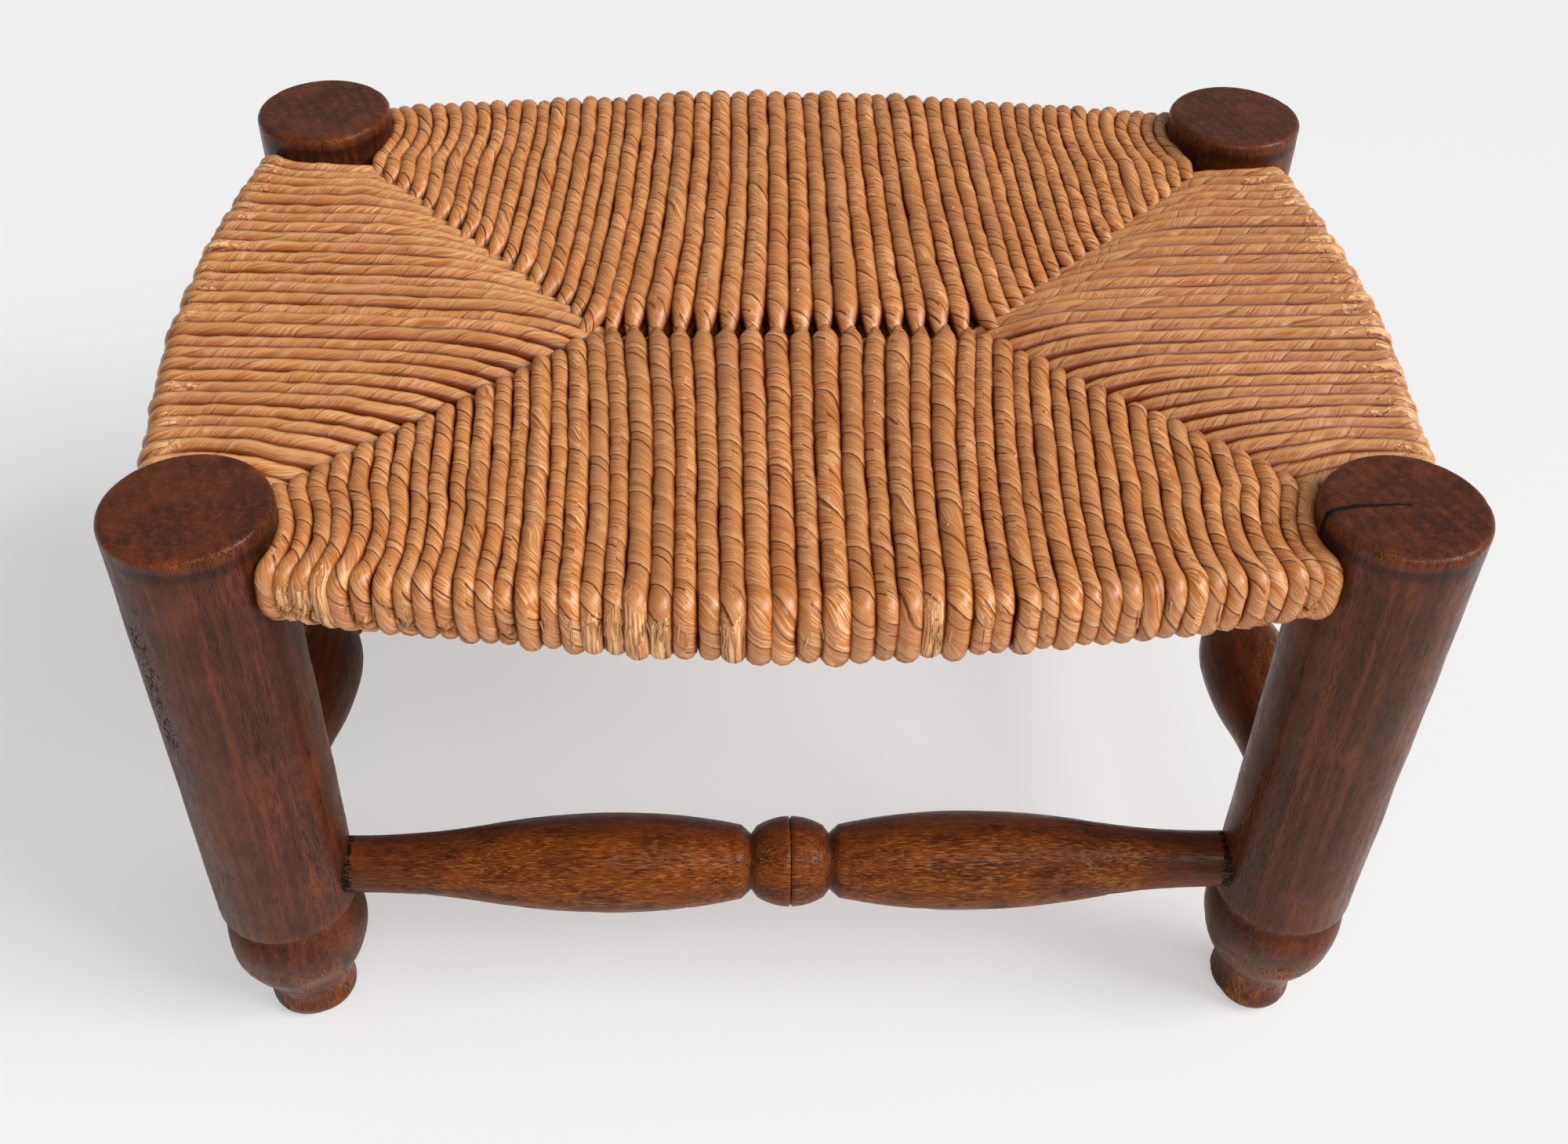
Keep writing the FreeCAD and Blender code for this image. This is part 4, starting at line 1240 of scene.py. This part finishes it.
def straw_tree():
    """Scatters straws over a flat plan, lying at all angles and at all depths of the wad."""
    tree, entry, identifiers = new_tree("pack_straw", STRAW_SIZES)
    points = node(tree, "GeometryNodeDistributePointsOnFaces", {
        "Mesh": entry["Geometry"], "Density": entry["Straws per square metre"], "Seed": entry["Seed"]})
    depth = node(tree, RANDOM, {"Min": -1.0, "Max": 1.0, "Seed": entry["Seed"]}, data_type="FLOAT")
    depth = node(tree, MATH, (depth, entry["Half depth"]), operation="MULTIPLY")
    lift = node(tree, COMBINE, {"Z": depth})
    points = node(tree, "GeometryNodeSetPosition", {"Geometry": points, "Offset": lift})
    spin = node(tree, RANDOM, {
        "Min": (math.pi / 2 - STRAW_TILT, 0.0, 0.0),
        "Max": (math.pi / 2 + STRAW_TILT, 0.0, math.tau),
        "Seed": entry["Seed"],
    }, data_type="FLOAT_VECTOR")
    stalk = node(tree, "GeometryNodeMeshCylinder", {
        "Vertices": STRAW_SIDES, "Radius": STRAW_RADIUS * MM, "Depth": STRAW_LENGTH * MM})
    straws = node(tree, "GeometryNodeInstanceOnPoints", {
        "Points": points, "Instance": stalk, "Rotation": spin})
    end_tree(tree, straws, entry["Finish"])
    return tree, identifiers


pack_straw, straw_identifiers = straw_tree()
print("straw tree:", len(pack_straw.nodes), "nodes")


# %% Pack the four wads
STRAWS_PER_WAD = 260
WAD_CLEARANCE = 3.0


def wad_plan(side, inset):
    """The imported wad's plan, drawn in from its edges, at the level of the rails."""
    points = np.array([v.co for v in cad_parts[f"stuffing_{side}"].data.vertices])
    plan = np.unique(np.round(points[:, :2], 6), axis=0)
    middle = plan.mean(axis=0)
    order = np.argsort(np.arctan2(*(plan - middle).T[::-1]))
    away = plan[order] - middle
    shrunk = middle + away * (1 - inset / np.linalg.norm(away, axis=1, keepdims=True))
    return [(x, y, RAIL_LEVEL * MM) for x, y in shrunk]


for seed, side in enumerate(FIELDS, start=11):
    corners = wad_plan(side, STRAW_LENGTH / 2 * MM)
    mesh = bpy.data.meshes.new(f"straw_{side}")
    mesh.from_pydata(corners, [], [range(len(corners))])
    density = STRAWS_PER_WAD / mesh.polygons[0].area
    wad = add_piece(f"straw_{side}", mesh)
    nodes_to_mesh(wad, pack_straw, straw_identifiers, {
        "Straws per square metre": density,
        "Half depth": (RAIL_HALF_THICK - WAD_CLEARANCE) * MM,
        "Seed": seed,
        "Finish": straw,
    })
    stands_for(wad, f"stuffing_{side}")
    print(wad.name, len(wad.data.polygons), "faces")

# %% [markdown]
# ## Floor, light and camera
# A pale floor under soft studio light: a broad sun from the upper right, a weaker square lamp in front and
# an even sky. Their levels add up to about one on a level surface, so colours render about as they are
# written. The camera stands where the stool was seen from.

# %% Floor
FLOOR_SIZE = 14.0
BACKGROUND = "#f2f2f2"
FLOOR_GLOW = 0.5


def studio_floor():
    """Pale paper: half of it glows to the camera, which thins the shadow as paper lit from behind does."""
    material, tree, shader = new_material("studio_floor")
    shader.inputs["Base Color"].default_value = hex_colour(BACKGROUND)
    shader.inputs["Roughness"].default_value = 0.9
    shader.inputs["Specular IOR Level"].default_value = 0.0
    seen = node(tree, LIGHT_PATH).outputs["Is Camera Ray"]
    glow = node(tree, "ShaderNodeEmission", {"Color": BACKGROUND})
    share = node(tree, MATH, (seen, FLOOR_GLOW), operation="MULTIPLY")
    mixed = node(tree, "ShaderNodeMixShader", (share, shader, glow))
    tree.links.new(result(mixed), tree.nodes["Material Output"].inputs["Surface"])
    half = FLOOR_SIZE / 2
    corners = [(-half, -half, 0), (half, -half, 0), (half, half, 0), (-half, half, 0)]
    mesh = bpy.data.meshes.new("floor")
    mesh.from_pydata(corners, [], [(0, 1, 2, 3)])
    mesh.materials.append(material)
    floor = add_piece("floor", mesh)
    floor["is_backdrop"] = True


studio_floor()
print("floor", FLOOR_SIZE, "m wide")

# %% Lamps and sky
SKY_LEVEL = 0.32
KEY_FROM = (0.95, -0.3, 0.9)
KEY_LEVEL = 0.64
KEY_SPREAD_DEGREES = 35.0
FRONT_FROM = (0.25, -0.95, 1.15)
FRONT_SIZE = 0.7
FRONT_WATTS = 5.1
AIM = (0, 0, 0.12)


def aimed(name, data, place):
    """Puts a lamp at a place, pointing at the stool."""
    holder = add_piece(name, data)
    holder.location = place
    holder.rotation_euler = (Vector(AIM) - Vector(place)).to_track_quat("-Z", "Y").to_euler()


key = bpy.data.lights.new("key", "SUN")
key.angle = math.radians(KEY_SPREAD_DEGREES)
key.energy = KEY_LEVEL * math.pi / Vector(KEY_FROM).normalized().z
aimed("key", key, KEY_FROM)
front = bpy.data.lights.new("front", "AREA")
front.size = FRONT_SIZE
front.energy = FRONT_WATTS
aimed("front", front, FRONT_FROM)
world = bpy.data.worlds.new("sky")
world.use_nodes = True
sky = world.node_tree
sky.nodes.clear()
rays = node(sky, LIGHT_PATH).outputs
seen = node(sky, MATH, (rays["Is Camera Ray"], rays["Is Transmission Ray"]), operation="MAXIMUM")
strength = node(sky, MATH, (seen, 1.0 - SKY_LEVEL, SKY_LEVEL), operation="MULTIPLY_ADD")
glow = node(sky, "ShaderNodeBackground", {"Color": BACKGROUND, "Strength": strength})
node(sky, "ShaderNodeOutputWorld", {"Surface": glow})
bpy.context.scene.world = world
print("sun", KEY_LEVEL, "and sky", SKY_LEVEL, "on a level surface")

# %% Camera
CAMERA_PLACE_MM = (-20.8, -488.02, 546.13)
CAMERA_YAW = math.radians(2.46)
CAMERA_DOWN = math.radians(42.364)
CAMERA_ROLL = math.radians(-1.578)
FOCAL_PIXELS = 2242.5
PHOTO_WIDTH = 2000
SENSOR_MM = 36.0


def photo_camera():
    """Camera at the place from which the stool was seen."""
    forward = Vector((
        math.sin(CAMERA_YAW) * math.cos(CAMERA_DOWN),
        math.cos(CAMERA_YAW) * math.cos(CAMERA_DOWN),
        -math.sin(CAMERA_DOWN),
    ))
    right = Vector((math.cos(CAMERA_YAW), -math.sin(CAMERA_YAW), 0))
    down = forward.cross(right)
    tilt_x = right * math.cos(CAMERA_ROLL) + down * math.sin(CAMERA_ROLL)
    tilt_y = right * math.sin(CAMERA_ROLL) - down * math.cos(CAMERA_ROLL)
    lens = bpy.data.cameras.new("camera")
    lens.sensor_width = SENSOR_MM
    lens.lens = FOCAL_PIXELS / PHOTO_WIDTH * lens.sensor_width
    camera = add_piece("camera", lens)
    turn = Matrix((tilt_x, tilt_y, -forward)).transposed().to_4x4()
    camera.matrix_world = Matrix.Translation(Vector(CAMERA_PLACE_MM) * MM) @ turn
    bpy.context.scene.camera = camera
    return lens


lens = photo_camera()
bpy.context.scene.view_settings.view_transform = "Standard"
print("lens", round(lens.lens, 1), "mm")

# %% Measure the visual box and finish
low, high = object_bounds()
print("visual box:", [round(v / MM) for v in high - low], "mm")
